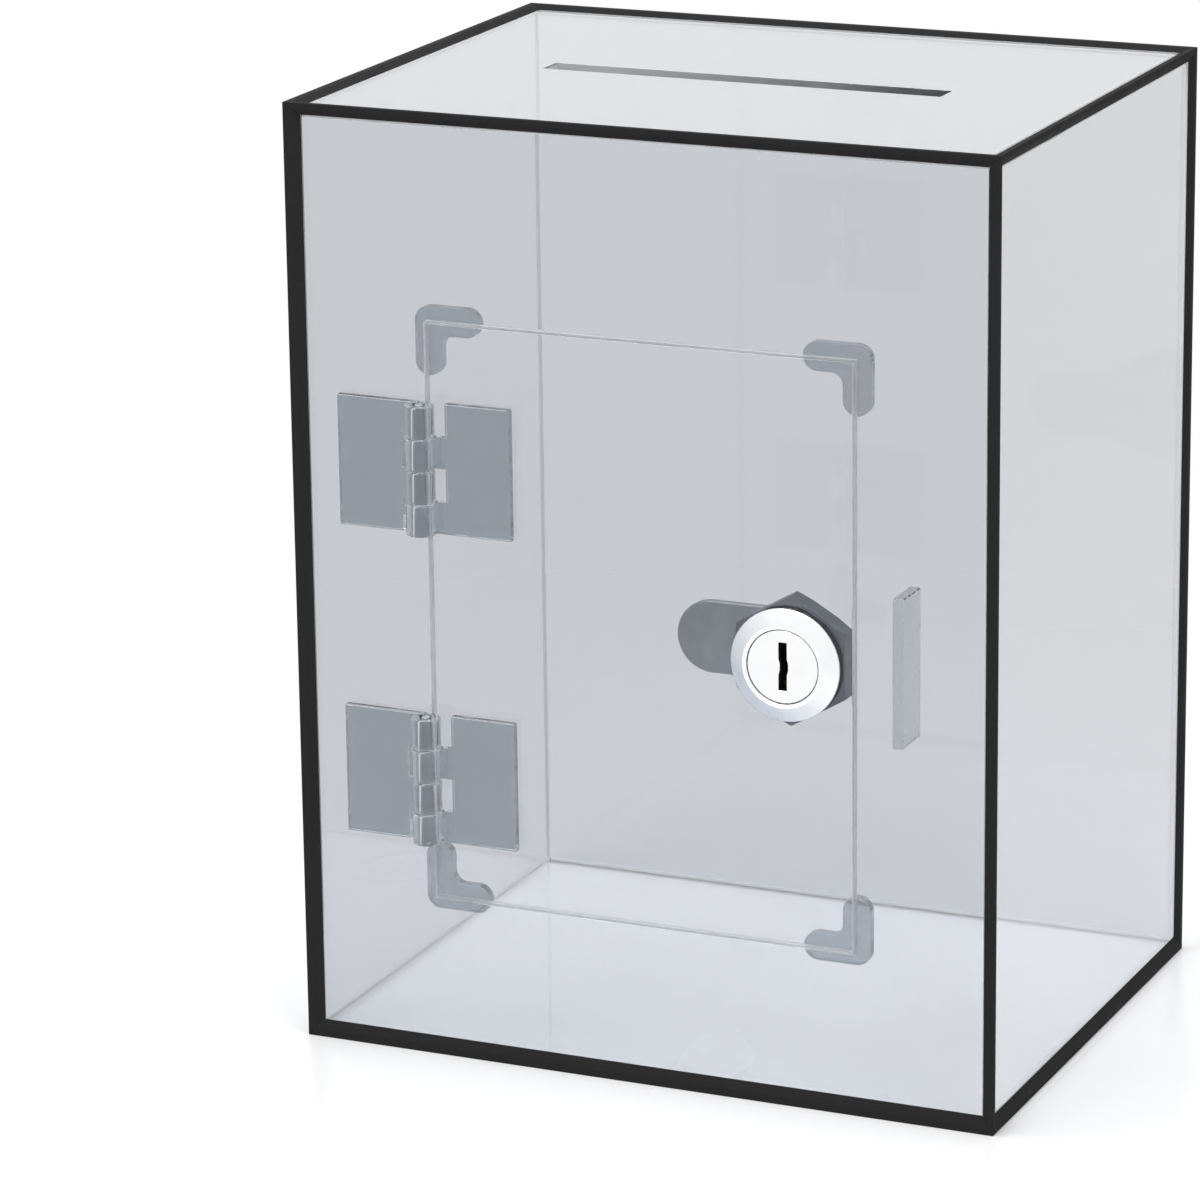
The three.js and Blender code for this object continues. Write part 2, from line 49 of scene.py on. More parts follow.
# Case
SHEET_EASE = 0.08 * MM
DOOR_CUT = 0.6 * MM
SLOT_LENGTH = 110 * MM
SLOT_WIDTH = 8.5 * MM
SLOT_MIDDLE_Y = 1.05 * MM
GLUE_INSET = 0.02 * MM
GLUE_SHORT = 0.15 * MM

# Edge strips
STRIP_ROUND = 0.2 * MM
STRIP_ROUND_STRIDE = 4
STRIP_THIN_EDGE = 0.05 * MM
STRIP_TAPER = 0.55
STRIP_SHEET_GAP = 0.02 * MM
MITRE_GAP = 0.03 * MM

# Door stops
STOP_ARM = 18 * MM
STOP_WIDTH = 7.5 * MM
STOP_FILLET = 3 * MM
STOP_EASE = 0.3 * MM

# Hinges
KNUCKLE_COUNT = 4
KNUCKLE_RADIUS = 3.9 * MM
KNUCKLE_GAP = 0.3 * MM
KNUCKLE_NOTCH = 6.2 * MM
KNUCKLE_ROOT = 1.5 * MM
KNUCKLE_ROUND = 0.45 * MM
LEAF_THICKNESS = 2.2 * MM
LEAF_EASE = 0.15 * MM
PIN_BORE = 1.75 * MM
PIN_ROUND = 0.4 * MM

# Cam lock, with depths from the door's front face
LOCK_CLEARANCE = 0.3 * MM
BEZEL_FACE_RADIUS = 10.8 * MM
BEZEL_RIM_DEPTH = -0.9 * MM
BEZEL_BACK = -0.15 * MM
BEZEL_ROUND = 0.35 * MM
RECESS_RADIUS = 9.65 * MM
RECESS_FLOOR = -0.2 * MM
BORE_RADIUS = 7.9 * MM
BARREL_RADIUS = 10.7 * MM
BARREL_HALF_FLATS = 9.4 * MM
BARREL_FLATS_FRONT = 0.1 * MM
THREAD_PITCH = 1.0 * MM
THREAD_HEIGHT = 0.42 * MM
THREAD_START = 0.6 * MM
THREAD_SIDES = 6
GROOVE_HALF = (4.4 * MM, 7.9 * MM)
GROOVE_FRONT = 0.6 * MM
NUT_CHAMFER = math.radians(30)
NUT_EASE = 0.25 * MM
FACE_EASE = 0.12 * MM
KEYWAY_LIP = 0.3 * MM
KEYWAY_REACH = 6.5 * MM
CAM_HALF_WIDTH = 9.5 * MM
CAM_HOLE_HALF = 4.2 * MM
CAM_EASE = 0.3 * MM
WASHER_HOLE = 1.75 * MM
SCREW_SHANK = 1.5 * MM
SCREW_HEAD_HEIGHT = 2.2 * MM
SCREW_DOME = (0.8, 0.3 * MM)
SCREW_CROSS = (0.45 * MM, 1.9 * MM, 1.1 * MM)
WAFER_EASE = 0.08 * MM
WAFER_COUNT = 5
WAFER_PITCH = 2.2 * MM
WAFER_FIRST = 1.6 * MM
SPRING_TURNS = 3.0
SPRING_WIRE = 0.15 * MM
SPRING_SIDES = 8
SPRING_STEPS = 24
SPRING_X = 5.3 * MM
SPRING_RADIUS = 0.55 * MM

# Fineness of round shapes, and where the rounding of a corner starts and leads in
ROUND_STEPS = 96
ARC_STEPS = 14
CORNER_SHARE = 0.45
CORNER_LEAD = 1.15
FILLET_STEPS = 4

# Angles: edges that are eased, edges drawn sharp, and faces so level with each other that they are one
EASED_ANGLE = 40
PLUG_EASED_ANGLE = 60
SHARP_ANGLE = 25
STRIP_SHARP = 12
FLAT_ANGLE = math.radians(0.5)

# How near two places are when they are the same, and how far a normal may lean when it faces an axis
SAME_POINT = 0.002 * MM
SAME_PLACE = 0.01 * MM
FACING = 0.9
EDGE_ON = 0.1
MOSTLY = 0.5

# Camera, fitted to the corners of the box in the photograph
CAMERA_PLACE = (543.2 * MM, -1301.2 * MM, 521.4 * MM)
CAMERA_YAW = math.radians(24.22)
CAMERA_PITCH = math.radians(16.126)
CAMERA_ROLL = math.radians(-0.75)
CAMERA_LENS = 167.5
CAMERA_CLIP = (0.05, 20)

# Lamps as place, size and power, the point they are aimed at, the light all round and the floor's fade
KEY_LIGHT = ((-0.34, -0.5, 1.6), 0.8, 11)
FILL_LIGHT = ((0.5, -0.34, 1.6), 0.7, 8)
LIGHT_TARGET = (0, 0, 0.12)
WORLD_LIGHT = 0.68
FLOOR_SIZE = 6
FLOOR_CELLS = 8
FLOOR_FADE = (0.12, 0.42)
LIGHT_BOUNCES = 18
MIRROR_BOUNCES = 12
CLEAR_BOUNCES = 32

# Tints of the clear plastics, as the share of light that one thickness lets through
ACRYLIC_IOR = 1.49
SHEET_TINTS = ((0.738, 0.752, 0.774), (0.750, 0.763, 0.785))
# The top sheet is the same acrylic painted lighter: painted light on the top
TOP_PAINTED_LIGHT_TINTS = ((0.768, 0.780, 0.798), (0.780, 0.791, 0.809))
# The base is the same acrylic painted clearer: painted light that lightens the floor's shadow seen through
# it
BASE_PAINTED_LIGHT_TINTS = ((0.91, 0.915, 0.925), (0.93, 0.935, 0.945))
# Level and upright cuts are the same sawn acrylic: the level ones painted darker as painted shade, the
# upright ones paler as painted light
LEVEL_EDGE_SHADE_TINTS = ((0.74, 0.76, 0.79), (0.80, 0.82, 0.845))
UPRIGHT_EDGE_LIGHT_TINTS = ((0.87, 0.89, 0.915), (0.91, 0.93, 0.95))
# Back edge of the slot: painted shade, from mid grey at its left end to near black at its right
SLOT_EDGE_SHADE_TINTS = ((0.44, 0.455, 0.465), (0.03, 0.03, 0.032))
LEAF_TINTS = ((0.46, 0.50, 0.535), (0.48, 0.52, 0.555))
KNUCKLE_TINTS = ((0.57, 0.60, 0.63), (0.60, 0.63, 0.66))
PIN_TINTS = ((0.77, 0.785, 0.80), (0.81, 0.825, 0.84))
STOP_TINTS = ((0.455, 0.495, 0.535), (0.475, 0.515, 0.555))
BAR_TINTS = ((0.68, 0.70, 0.725), (0.72, 0.74, 0.76))

# Light of the lamps that passes through each clear plastic
SHEET_LAMPS = (0.93, 0.935, 0.94)
BASE_LAMPS = (0.95, 0.955, 0.96)
SLOT_LAMPS = (0.8, 0.8, 0.81)
SMOKE_LAMPS = (0.75, 0.77, 0.79)
BAR_LAMPS = (0.85, 0.86, 0.88)

# Tints of the strips, the adhesive, the metals and the floor
STRIP_TINTS = ((0.0245, 0.0245, 0.025), (0.046, 0.046, 0.047))
FILM_TINTS = ((0.95, 0.953, 0.957), (0.975, 0.977, 0.98))
CHROME_TINTS = ((0.95, 0.955, 0.965), (0.985, 0.987, 0.992))
ZINC_TINTS = ((0.26, 0.285, 0.31), (0.36, 0.385, 0.41))
NUT_TINTS = ((0.10, 0.118, 0.14), (0.15, 0.172, 0.196))
# Near-black painted shade inside the keyway
KEYWAY_SHADE_TINTS = ((0.006, 0.006, 0.006), (0.014, 0.013, 0.012))
SPRING_TINTS = ((0.42, 0.43, 0.45), (0.55, 0.56, 0.58))
BRASS_TINTS = ((0.035, 0.026, 0.012), (0.07, 0.052, 0.024))
FLOOR_TINTS = ((0.90, 0.90, 0.905), (0.92, 0.92, 0.925))

# Slope of the lock's bezel, with painted shade at its lower left that runs to a painted highlight at its
# upper right
BEVEL_SHADE_HIGHLIGHT_TINTS = ((0.52, 0.565, 0.63), (0.955, 0.962, 0.975))
BEVEL_PAINTED_LIGHT_RUN = Vector((1, 0, 1)).normalized()
BEVEL_PAINTED_LIGHT_SPAN = (-0.75, 0.45)


def half_width(node):
    low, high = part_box(node)
    return (high.x - low.x) / 2


# Node trees


def add(tree, kind, values=None, **settings):
    """New node with its settings, and its input values by socket name"""
    made = tree.nodes.new(kind)
    for name, value in settings.items():
        setattr(made, name, value)
    for name, value in (values or {}).items():
        made.inputs[name].default_value = value
    return made


def link(tree, source, target):
    tree.links.new(source, target)


def wire(tree, *joins):
    """Links, each given as a node, the name of its output, the next node and its input's name or number"""
    for source, output, target, socket in joins:
        link(tree, source.outputs[output], target.inputs[socket])


def math_node(tree, operation, first, second):
    """Result of a sum or the like on two numbers or outputs"""
    made = add(tree, "ShaderNodeMath", operation=operation)
    for socket, value in zip(made.inputs, (first, second)):
        if isinstance(value, (int, float)):
            socket.default_value = value
        else:
            link(tree, value, socket)
    return made.outputs["Value"]


def seen_share(tree):
    """1 for what is seen, mirrored or seen through something clear, 0 for light that falls on things"""
    path = add(tree, "ShaderNodeLightPath").outputs
    mirrored = math_node(tree, "MAXIMUM", path["Is Camera Ray"], path["Is Glossy Ray"])
    return math_node(tree, "MAXIMUM", mirrored, path["Is Transmission Ray"])


def noise_group(name, detail, roughness, least, most):
    """Shared effect: noise whose values between least and most are spread out from Low to High"""
    tree = bpy.data.node_groups.new(name, "ShaderNodeTree")
    tree.interface.new_socket("Vector", in_out="INPUT", socket_type="NodeSocketVector")
    for label in ("Scale", "Low", "High"):
        tree.interface.new_socket(label, in_out="INPUT", socket_type="NodeSocketFloat")
    tree.interface.new_socket("Value", in_out="OUTPUT", socket_type="NodeSocketFloat")
    given = add(tree, "NodeGroupInput")
    result = add(tree, "NodeGroupOutput")
    noise = add(tree, "ShaderNodeTexNoise", {"Detail": detail, "Roughness": roughness})
    spread = add(tree, "ShaderNodeMapRange", {"From Min": least, "From Max": most})
    wire(
        tree,
        (given, "Vector", noise, "Vector"),
        (given, "Scale", noise, "Scale"),
        (noise, "Fac", spread, "Value"),
        (given, "Low", spread, "To Min"),
        (given, "High", spread, "To Max"),
        (spread, "Result", result, "Value"),
    )
    return tree


# Slow clouds on moulded or rolled surfaces, hairlines from drawing or brushing, and small rubbed specks
UNEVENNESS = noise_group("unevenness", 2, 0.55, 0.3, 0.7)
FINE_LINES = noise_group("fine_lines", 2, 0.6, 0.42, 0.62)
SCUFFS = noise_group("scuffs", 4, 0.7, 0.6, 0.75)


class Finish:
    """A material with one Principled shader, its place on the object and short ways to feed it"""

    def __init__(self, name, lamps=None, **values):
        self.material = bpy.data.materials.new(name)
        self.material.use_nodes = True
        self.tree = self.material.node_tree
        self.tree.nodes.clear()
        self.shader = add(self.tree, "ShaderNodeBsdfPrincipled")
        self.output = add(self.tree, "ShaderNodeOutputMaterial")
        self.place = add(self.tree, "ShaderNodeTexCoord").outputs["Object"]
        for label, value in values.items():
            self.shader.inputs[label.replace("_", " ").title().replace("Ior", "IOR")].default_value = value
        wire(self.tree, (self.shader, "BSDF", self.output, "Surface"))
        if lamps:
            self.let_lamps_through(lamps)

    def effect(self, group, scale, low=0, high=1, stretch=(1, 1, 1)):
        """Value of a shared effect between low and high, with its pattern stretched along the axes"""
        mapping = add(self.tree, "ShaderNodeMapping", {"Scale": stretch})
        values = {"Scale": scale, "Low": low, "High": high}
        made = add(self.tree, "ShaderNodeGroup", values, node_tree=group)
        link(self.tree, self.place, mapping.inputs["Vector"])
        wire(self.tree, (mapping, "Vector", made, "Vector"))
        return made.outputs["Value"]

    def along(self, direction, low, high, marks):
        """Value that goes from 0 to 1 between two distances along a direction, with marks added"""
        distance = add(self.tree, "ShaderNodeVectorMath", operation="DOT_PRODUCT")
        distance.inputs[1].default_value = direction
        spread = add(self.tree, "ShaderNodeMapRange", {"From Min": low, "From Max": high})
        link(self.tree, self.place, distance.inputs[0])
        wire(self.tree, (distance, "Value", spread, "Value"))
        return math_node(self.tree, "ADD", spread.outputs["Result"], marks)

    def colours(self, value, tints):
        """Base colour that runs from the first tint to the second as the value goes from 0 to 1"""
        ramp = add(self.tree, "ShaderNodeValToRGB")
        for element, tint in zip(ramp.color_ramp.elements, tints):
            element.color = (*tint, 1)
        link(self.tree, value, ramp.inputs["Fac"])
        wire(self.tree, (ramp, "Color", self.shader, "Base Color"))

    def roughness(self, value):
        link(self.tree, value, self.shader.inputs["Roughness"])

    def bump(self, height, distance, strength):
        node = add(self.tree, "ShaderNodeBump", {"Strength": strength, "Distance": distance})
        link(self.tree, height, node.inputs["Height"])
        wire(self.tree, (node, "Normal", self.shader, "Normal"))

    def mixed(self, share, other):
        """Puts another shader in place of the Principled one, by a share"""
        mix = add(self.tree, "ShaderNodeMixShader")
        link(self.tree, share, mix.inputs["Fac"])
        wire(self.tree, (self.shader, "BSDF", mix, 1), (mix, "Shader", self.output, "Surface"))
        link(self.tree, other, mix.inputs[2])

    def let_lamps_through(self, tint):
        """Lamps shine through the material, tinted, as they do through thin clear sheet"""
        path = add(self.tree, "ShaderNodeLightPath")
        clear = add(self.tree, "ShaderNodeBsdfTransparent", {"Color": (*tint, 1)})
        self.mixed(path.outputs["Is Shadow Ray"], clear.outputs["BSDF"])


# Finishes


def clouded(name, tints, scale, satin, **values):
    """Finish whose colour drifts between two tints, and its roughness as a scale and two values say"""
    finish = Finish(name, **values)
    finish.colours(finish.effect(UNEVENNESS, scale), tints)
    finish.roughness(finish.effect(UNEVENNESS, *satin))
    return finish


def lined_metal(name, tints, scale, satin, lines, stretch, depth, strength):
    """Metal with fine lines from polishing, brushing or stamping"""
    finish = clouded(name, tints, scale, satin, metallic=1.0)
    finish.bump(finish.effect(FINE_LINES, lines, stretch=stretch), depth, strength)
    return finish.material


def clear_acrylic(name, tints, lamps, gloss=0.03, scale=9):
    """Clear acrylic with a blue-grey tint that drifts between two shades, and a barely uneven gloss"""
    finish = Finish(name, lamps, IOR=ACRYLIC_IOR, transmission_weight=1.0)
    finish.colours(finish.effect(UNEVENNESS, scale), tints)
    finish.roughness(finish.effect(SCUFFS, 4 * scale, high=gloss))
    return finish


def sawn_edge(name, clear, tints):
    """Edges of the doorway and the door, left pale and a little frosted by the saw"""
    values = {"lamps": SHEET_LAMPS, "IOR": ACRYLIC_IOR, "transmission_weight": clear}
    return clouded(name, tints, 60, (300, 0.3, 0.45), **values).material


def slot_edge_painted_shade():
    """Back edge of the slot, cut rough, with painted shade that darkens it from its left end to its right
    """
    finish = Finish("slot_edge_painted_shade", SLOT_LAMPS, IOR=ACRYLIC_IOR, transmission_weight=0.2)
    marks = finish.effect(UNEVENNESS, 90, -0.07, 0.07)
    finish.colours(finish.along((1, 0, 0), -SLOT_LENGTH / 2, SLOT_LENGTH / 2, marks), SLOT_EDGE_SHADE_TINTS)
    finish.roughness(finish.effect(UNEVENNESS, 300, 0.35, 0.5))
    return finish.material


def smoky_moulding(name, tints):
    """Deeper grey clear plastic, with soft flow marks from moulding"""
    finish = clear_acrylic(name, tints, SMOKE_LAMPS, 0.04, 90)
    finish.bump(finish.effect(UNEVENNESS, 90, stretch=(1, 1, 0.4)), 0.05 * MM, 0.1)
    return finish.material


def clear_bar():
    """Clear cut bar of the strike, with fine saw lines"""
    finish = Finish("clear_bar", BAR_LAMPS, IOR=ACRYLIC_IOR, transmission_weight=1.0)
    finish.colours(finish.effect(UNEVENNESS, 60), BAR_TINTS)
    finish.roughness(finish.effect(FINE_LINES, 900, high=0.06, stretch=(1, 1, 0.05)))
    return finish.material


def black_strip():
    """Satin black extruded strip with rubbed specks and a fine grain"""
    finish = Finish("black_strip", IOR=1.05)
    finish.colours(finish.effect(SCUFFS, 420, high=0.5), STRIP_TINTS)
    finish.roughness(finish.effect(UNEVENNESS, 70, 0.42, 0.55))
    finish.bump(finish.effect(UNEVENNESS, 900), 0.03 * MM, 0.15)
    return finish.material


def bevel_chrome_painted_light():
    """Turned slope round the lock's face, with a painted highlight at its upper right and painted blue-grey
    shade at its lower left
    """
    finish = Finish("bevel_chrome_painted_light", metallic=1.0)
    low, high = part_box("lock_housing")
    middle = (low + high).dot(BEVEL_PAINTED_LIGHT_RUN) / 2
    start, end = [middle + share * half_width("lock_housing") for share in BEVEL_PAINTED_LIGHT_SPAN]
    marks = finish.effect(UNEVENNESS, 160, -0.06, 0.06)
    finish.colours(finish.along(BEVEL_PAINTED_LIGHT_RUN, start, end, marks), BEVEL_SHADE_HIGHLIGHT_TINTS)
    finish.roughness(finish.effect(UNEVENNESS, 240, 0.2, 0.3))
    return finish.material


CLEAR_SHEET = clear_acrylic("clear_sheet", SHEET_TINTS, SHEET_LAMPS).material
CLEAR_TOP_PAINTED_LIGHT = clear_acrylic("clear_top_painted_light", TOP_PAINTED_LIGHT_TINTS, SHEET_LAMPS).material
CLEAR_BASE_PAINTED_LIGHT = clear_acrylic("clear_base_painted_light", BASE_PAINTED_LIGHT_TINTS, BASE_LAMPS).material
# Sawn edges toned by which way they face: painted shade on the level cuts and painted light on the upright
# ones
LEVEL_EDGE_PAINTED_SHADE = sawn_edge("level_edge_painted_shade", 0.7, LEVEL_EDGE_SHADE_TINTS)
UPRIGHT_EDGE_PAINTED_LIGHT = sawn_edge("upright_edge_painted_light", 0.3, UPRIGHT_EDGE_LIGHT_TINTS)
SLOT_EDGE_PAINTED_SHADE = slot_edge_painted_shade()
SMOKY_LEAF = smoky_moulding("smoky_leaf", LEAF_TINTS)
SMOKY_KNUCKLE = smoky_moulding("smoky_knuckle", KNUCKLE_TINTS)
SMOKY_PIN = smoky_moulding("smoky_pin", PIN_TINTS)
SMOKY_STOP = smoky_moulding("smoky_stop", STOP_TINTS)
CLEAR_BAR = clear_bar()
BLACK_STRIP = black_strip()
BEVEL_CHROME_PAINTED_LIGHT = bevel_chrome_painted_light()

# Milky adhesive inside the strips, painted shade in the keyway, and drawn wire
MILKY_FILM = clouded("milky_film", FILM_TINTS, 150, (220, 0.5, 0.7), IOR=1.45).material
KEYWAY_PAINTED_SHADE = clouded("keyway_painted_shade", KEYWAY_SHADE_TINTS, 700, (900, 0.6, 0.8), IOR=1.4).material
SPRING_STEEL = clouded("spring_steel", SPRING_TINTS, 700, (900, 0.2, 0.35), metallic=1.0).material

# Metals with fine lines, each given by their scale, stretch, depth and strength
POLISHED = (1400, (1, 1, 0.06), 0.01 * MM, 0.08)
BRUSHED = (1500, (0.06, 1, 1), 0.015 * MM, 0.25)
STAMPED = (2200, (1, 1, 0.08), 0.01 * MM, 0.3)
BRIGHT_CHROME = lined_metal("bright_chrome", CHROME_TINTS, 160, (240, 0.10, 0.18), *POLISHED)
SATIN_ZINC = lined_metal("satin_zinc", ZINC_TINTS, 110, (300, 0.32, 0.45), *BRUSHED)
DARK_ZINC = lined_metal("dark_zinc", NUT_TINTS, 110, (300, 0.32, 0.45), *BRUSHED)
STAMPED_BRASS = lined_metal("stamped_brass", BRASS_TINTS, 500, (800, 0.4, 0.6), *STAMPED)


# Meshes


def mesh_of(thing):
    """Plain mesh of an object with its modifiers applied. The object is removed."""
    bpy.context.view_layer.update()
    depsgraph = bpy.context.evaluated_depsgraph_get()
    mesh = bpy.data.meshes.new_from_object(thing.evaluated_get(depsgraph))
    bpy.data.objects.remove(thing)
    return mesh


def mesh_from(shape, name):
    """Plain mesh of a bmesh, which is freed"""
    mesh = bpy.data.meshes.new(name)
    shape.to_mesh(mesh)
    shape.free()
    return mesh


def working_object(data):
    """Object that is linked to the scene while a shape is worked on"""
    thing = bpy.data.objects.new("work", data)
    bpy.context.scene.collection.objects.link(thing)
    return thing


def edited(mesh, change):
    """The mesh after a change made to it as a bmesh"""
    shape = bmesh.new()
    shape.from_mesh(mesh)
    change(shape)
    shape.to_mesh(mesh)
    shape.free()
    return mesh


def closed(mesh):
    """Doubles merged and faces turned outwards"""

    def merge(shape):
        bmesh.ops.remove_doubles(shape, verts=shape.verts, dist=SAME_POINT)
        bmesh.ops.recalc_face_normals(shape, faces=shape.faces)

    return edited(mesh, merge)


def moved(mesh, matrix):
    mesh.transform(matrix)
    return closed(mesh)


def paint(mesh, material, others):
    """Gives a mesh its finish, and others on the faces that their tests choose"""
    mesh.materials.clear()
    mesh.materials.append(material)
    for face in mesh.polygons:
        face.material_index = 0
    for index, (finish, test) in enumerate(others, 1):
        mesh.materials.append(finish)
        for face in mesh.polygons:
            if test(face):
                face.material_index = index


def finished(name, mesh, material, slot, body, *replaced, others=(), sharp=SHARP_ANGLE):
    """Piece of the object with its finishes, riding on a body in place of some nodes"""
    mesh.name = name
    paint(mesh, material, others)
    mesh.shade_smooth()
    mesh.set_sharp_from_angle(angle=math.radians(sharp))
    piece = bpy.data.objects.new(name, mesh)
    bpy.context.scene.collection.objects.link(piece)
    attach(piece, body)
    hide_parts(*replaced)
    return piece


def plate(loops, thickness, ease):
    """Flat plate in X and Y with holes and eased edges, from 0 up to its thickness along Z"""
    curve = bpy.data.curves.new("plate", "CURVE")
    curve.dimensions = "2D"
    curve.fill_mode = "BOTH"
    curve.extrude = thickness / 2 - ease
    curve.bevel_depth = ease
    curve.bevel_resolution = 0
    curve.offset = -ease
    for loop in loops:
        spline = curve.splines.new("POLY")
        spline.points.add(len(loop) - 1)
        for point, (x, y) in zip(spline.points, loop):
            point.co = (x, y, 0, 1)
        spline.use_cyclic_u = True
    mesh = mesh_of(working_object(curve))
    return moved(mesh, Matrix.Translation((0, 0, thickness / 2)))


def standing(depth):
    """Turns a plate's X and Y into X and Z, its thickness running back from a depth along Y"""
    return Matrix(((1, 0, 0, 0), (0, 0, 1, depth), (0, 1, 0, 0), (0, 0, 0, 1)))


def rectangle(low, high):
    return [(low[0], low[1]), (high[0], low[1]), (high[0], high[1]), (low[0], high[1])]


def arc(centre, radius, start, end):
    """Points on an arc between two angles in degrees"""
    steps = max(2, round(ARC_STEPS * abs(end - start) / 90))
    angles = [math.radians(start + (end - start) * step / steps) for step in range(steps + 1)]
    return [(centre[0] + radius * math.cos(a), centre[1] + radius * math.sin(a)) for a in angles]


def rounded(profile, radius, steps=FILLET_STEPS, skip=()):
    """Closed profile with its corners rounded, and a close pair of points where each round starts"""
    result = []
    count = len(profile)
    for index, corner in enumerate(profile):
        here = Vector(corner)
        if index in skip:
            result.append(here)
            continue
        before = Vector(profile[index - 1]) - here
        after = Vector(profile[(index + 1) % count]) - here
        reach = min(radius, before.length * CORNER_SHARE, after.length * CORNER_SHARE)
        start = here + before.normalized() * reach
        end = here + after.normalized() * reach
        result.append(here + before.normalized() * reach * CORNER_LEAD)
        for step in range(steps + 1):
            t = step / steps
            result.append(start.lerp(here, t).lerp(here.lerp(end, t), t))
        result.append(here + after.normalized() * reach * CORNER_LEAD)
    return [tuple(point) for point in result]


def turned(profile, steps=ROUND_STEPS):
    """Closed profile of radius and depth turned round the Y axis. A radius of 0 is a point on the axis."""
    shape = bmesh.new()
    rings = []
    for radius, depth in profile:
        if radius < SAME_POINT:
            rings.append([shape.verts.new((0, depth, 0))] * steps)
            continue
        angles = [2 * math.pi * step / steps for step in range(steps)]
        places = [(radius * math.cos(a), depth, radius * math.sin(a)) for a in angles]
        rings.append([shape.verts.new(place) for place in places])
    for ring, following in zip(rings, rings[1:] + rings[:1]):
        for step in range(steps):
            after = (step + 1) % steps
            corners = [ring[step], ring[after], following[after], following[step]]
            distinct = list(dict.fromkeys(corners))
            if len(distinct) > 2:
                shape.faces.new(distinct)
    return closed(mesh_from(shape, "turned"))


def block(low, high):
    """Plain box, used to cut other shapes"""
    shape = bmesh.new()
    bmesh.ops.create_cube(shape, size=1)
    middle = (Vector(low) + Vector(high)) / 2
    for vertex in shape.verts:
        vertex.co = middle + Vector([c * (h - l) for c, l, h in zip(vertex.co, low, high)])
    return mesh_from(shape, "block")


def combined(mesh, other, operation):
    """Two closed meshes joined, cut or intersected"""
    first = working_object(mesh)
    second = working_object(other)
    modifier = first.modifiers.new("combine", "BOOLEAN")
    modifier.operation = operation
    modifier.solver = "EXACT"
    modifier.object = second
    result = mesh_of(first)
    bpy.data.objects.remove(second)
    return closed(result)


def softened(node, ease, least_angle=EASED_ANGLE, chosen=None):
    """Copy of a node's mesh with its outer edges eased"""
    return eased(nodes[node].data.copy(), ease, least_angle, chosen)


def eased(mesh, ease, least_angle=EASED_ANGLE, chosen=None):
    """The mesh merged, with its outer edges eased, or only those chosen"""

    def soften(shape):
        bmesh.ops.remove_doubles(shape, verts=shape.verts, dist=SAME_POINT)
        bmesh.ops.dissolve_limit(shape, angle_limit=FLAT_ANGLE, verts=shape.verts, edges=shape.edges)
        limit = math.radians(least_angle)
        edges = [e for e in shape.edges if e.is_manifold and e.is_convex and e.calc_face_angle() > limit]
        if chosen:
            edges = [e for e in edges if chosen(e)]
        bmesh.ops.bevel(
            shape, geom=edges, offset=ease, segments=1, affect="EDGES", clamp_overlap=True, profile=0.5
        )

    return edited(mesh, soften)


# Geometry Nodes


def geometry_tree(name, lengths, counts):
    """Empty geometry tree with named lengths, named whole numbers and a material as its inputs"""
    tree = bpy.data.node_groups.new(name, "GeometryNodeTree")
    kinds = {**dict.fromkeys(lengths, "NodeSocketFloat"), **dict.fromkeys(counts, "NodeSocketInt")}
    kinds["Material"] = "NodeSocketMaterial"
    for label, kind in kinds.items():
        tree.interface.new_socket(label, in_out="INPUT", socket_type=kind)
    tree.interface.new_socket("Geometry", in_out="OUTPUT", socket_type="NodeSocketGeometry")
    return tree, add(tree, "NodeGroupInput"), add(tree, "NodeGroupOutput")


def finish_tree(tree, given, result, path, section, points):
    """Section swept along a path and copied to points, made real and given its material"""
    sweep = add(tree, "GeometryNodeCurveToMesh", {"Fill Caps": True})
    copies = add(tree, "GeometryNodeInstanceOnPoints")
    realize = add(tree, "GeometryNodeRealizeInstances")
    coat = add(tree, "GeometryNodeSetMaterial")
    link(tree, points, copies.inputs["Points"])
    wire(
        tree,
        (path, "Curve", sweep, "Curve"),
        (section, "Curve", sweep, "Profile Curve"),
        (sweep, "Mesh", copies, "Instance"),
        (copies, "Instances", realize, "Geometry"),
        (realize, "Geometry", coat, "Geometry"),
        (given, "Material", coat, "Material"),
        (coat, "Geometry", result, "Geometry"),
    )


def grown(tree, material, values):
    """Plain mesh that a geometry tree makes from the given sizes"""
    thing = working_object(bpy.data.meshes.new("grown"))
    modifier = thing.modifiers.new("grow", "NODES")
    modifier.node_group = tree
    for item in tree.interface.items_tree:
        if item.item_type == "SOCKET" and item.in_out == "INPUT":
            modifier[item.identifier] = material if item.name == "Material" else values[item.name]
    return closed(mesh_of(thing))


def knuckle_row_tree():
    """Row of round-edged knuckles with a bore, standing on the hinge axis one above the other"""
    lengths = ("Radius", "Bore", "Height", "Round", "Start", "Spacing")
    tree, given, result = geometry_tree("knuckle_row", lengths, ("Count",))
    wall = math_node(tree, "SUBTRACT", given.outputs["Radius"], given.outputs["Bore"])
    both = math_node(tree, "ADD", given.outputs["Radius"], given.outputs["Bore"])
    path = add(tree, "GeometryNodeCurvePrimitiveCircle", {"Resolution": ROUND_STEPS})
    section = add(tree, "GeometryNodeCurvePrimitiveQuadrilateral")
    fillet = add(tree, "GeometryNodeFilletCurve", {"Count": FILLET_STEPS}, mode="POLY")
    row = add(tree, "GeometryNodeMeshLine")
    step = add(tree, "ShaderNodeCombineXYZ")
    start = add(tree, "ShaderNodeCombineXYZ")
    link(tree, math_node(tree, "DIVIDE", both, 2), path.inputs["Radius"])
    link(tree, wall, section.inputs["Width"])
    wire(
        tree,
        (given, "Height", section, "Height"),
        (section, "Curve", fillet, "Curve"),
        (given, "Round", fillet, "Radius"),
        (given, "Start", start, "Z"),
        (given, "Spacing", step, "Z"),
        (given, "Count", row, "Count"),
        (start, "Vector", row, "Start Location"),
        (step, "Vector", row, "Offset"),
    )
    finish_tree(tree, given, result, path, fillet, row.outputs["Mesh"])
    return tree


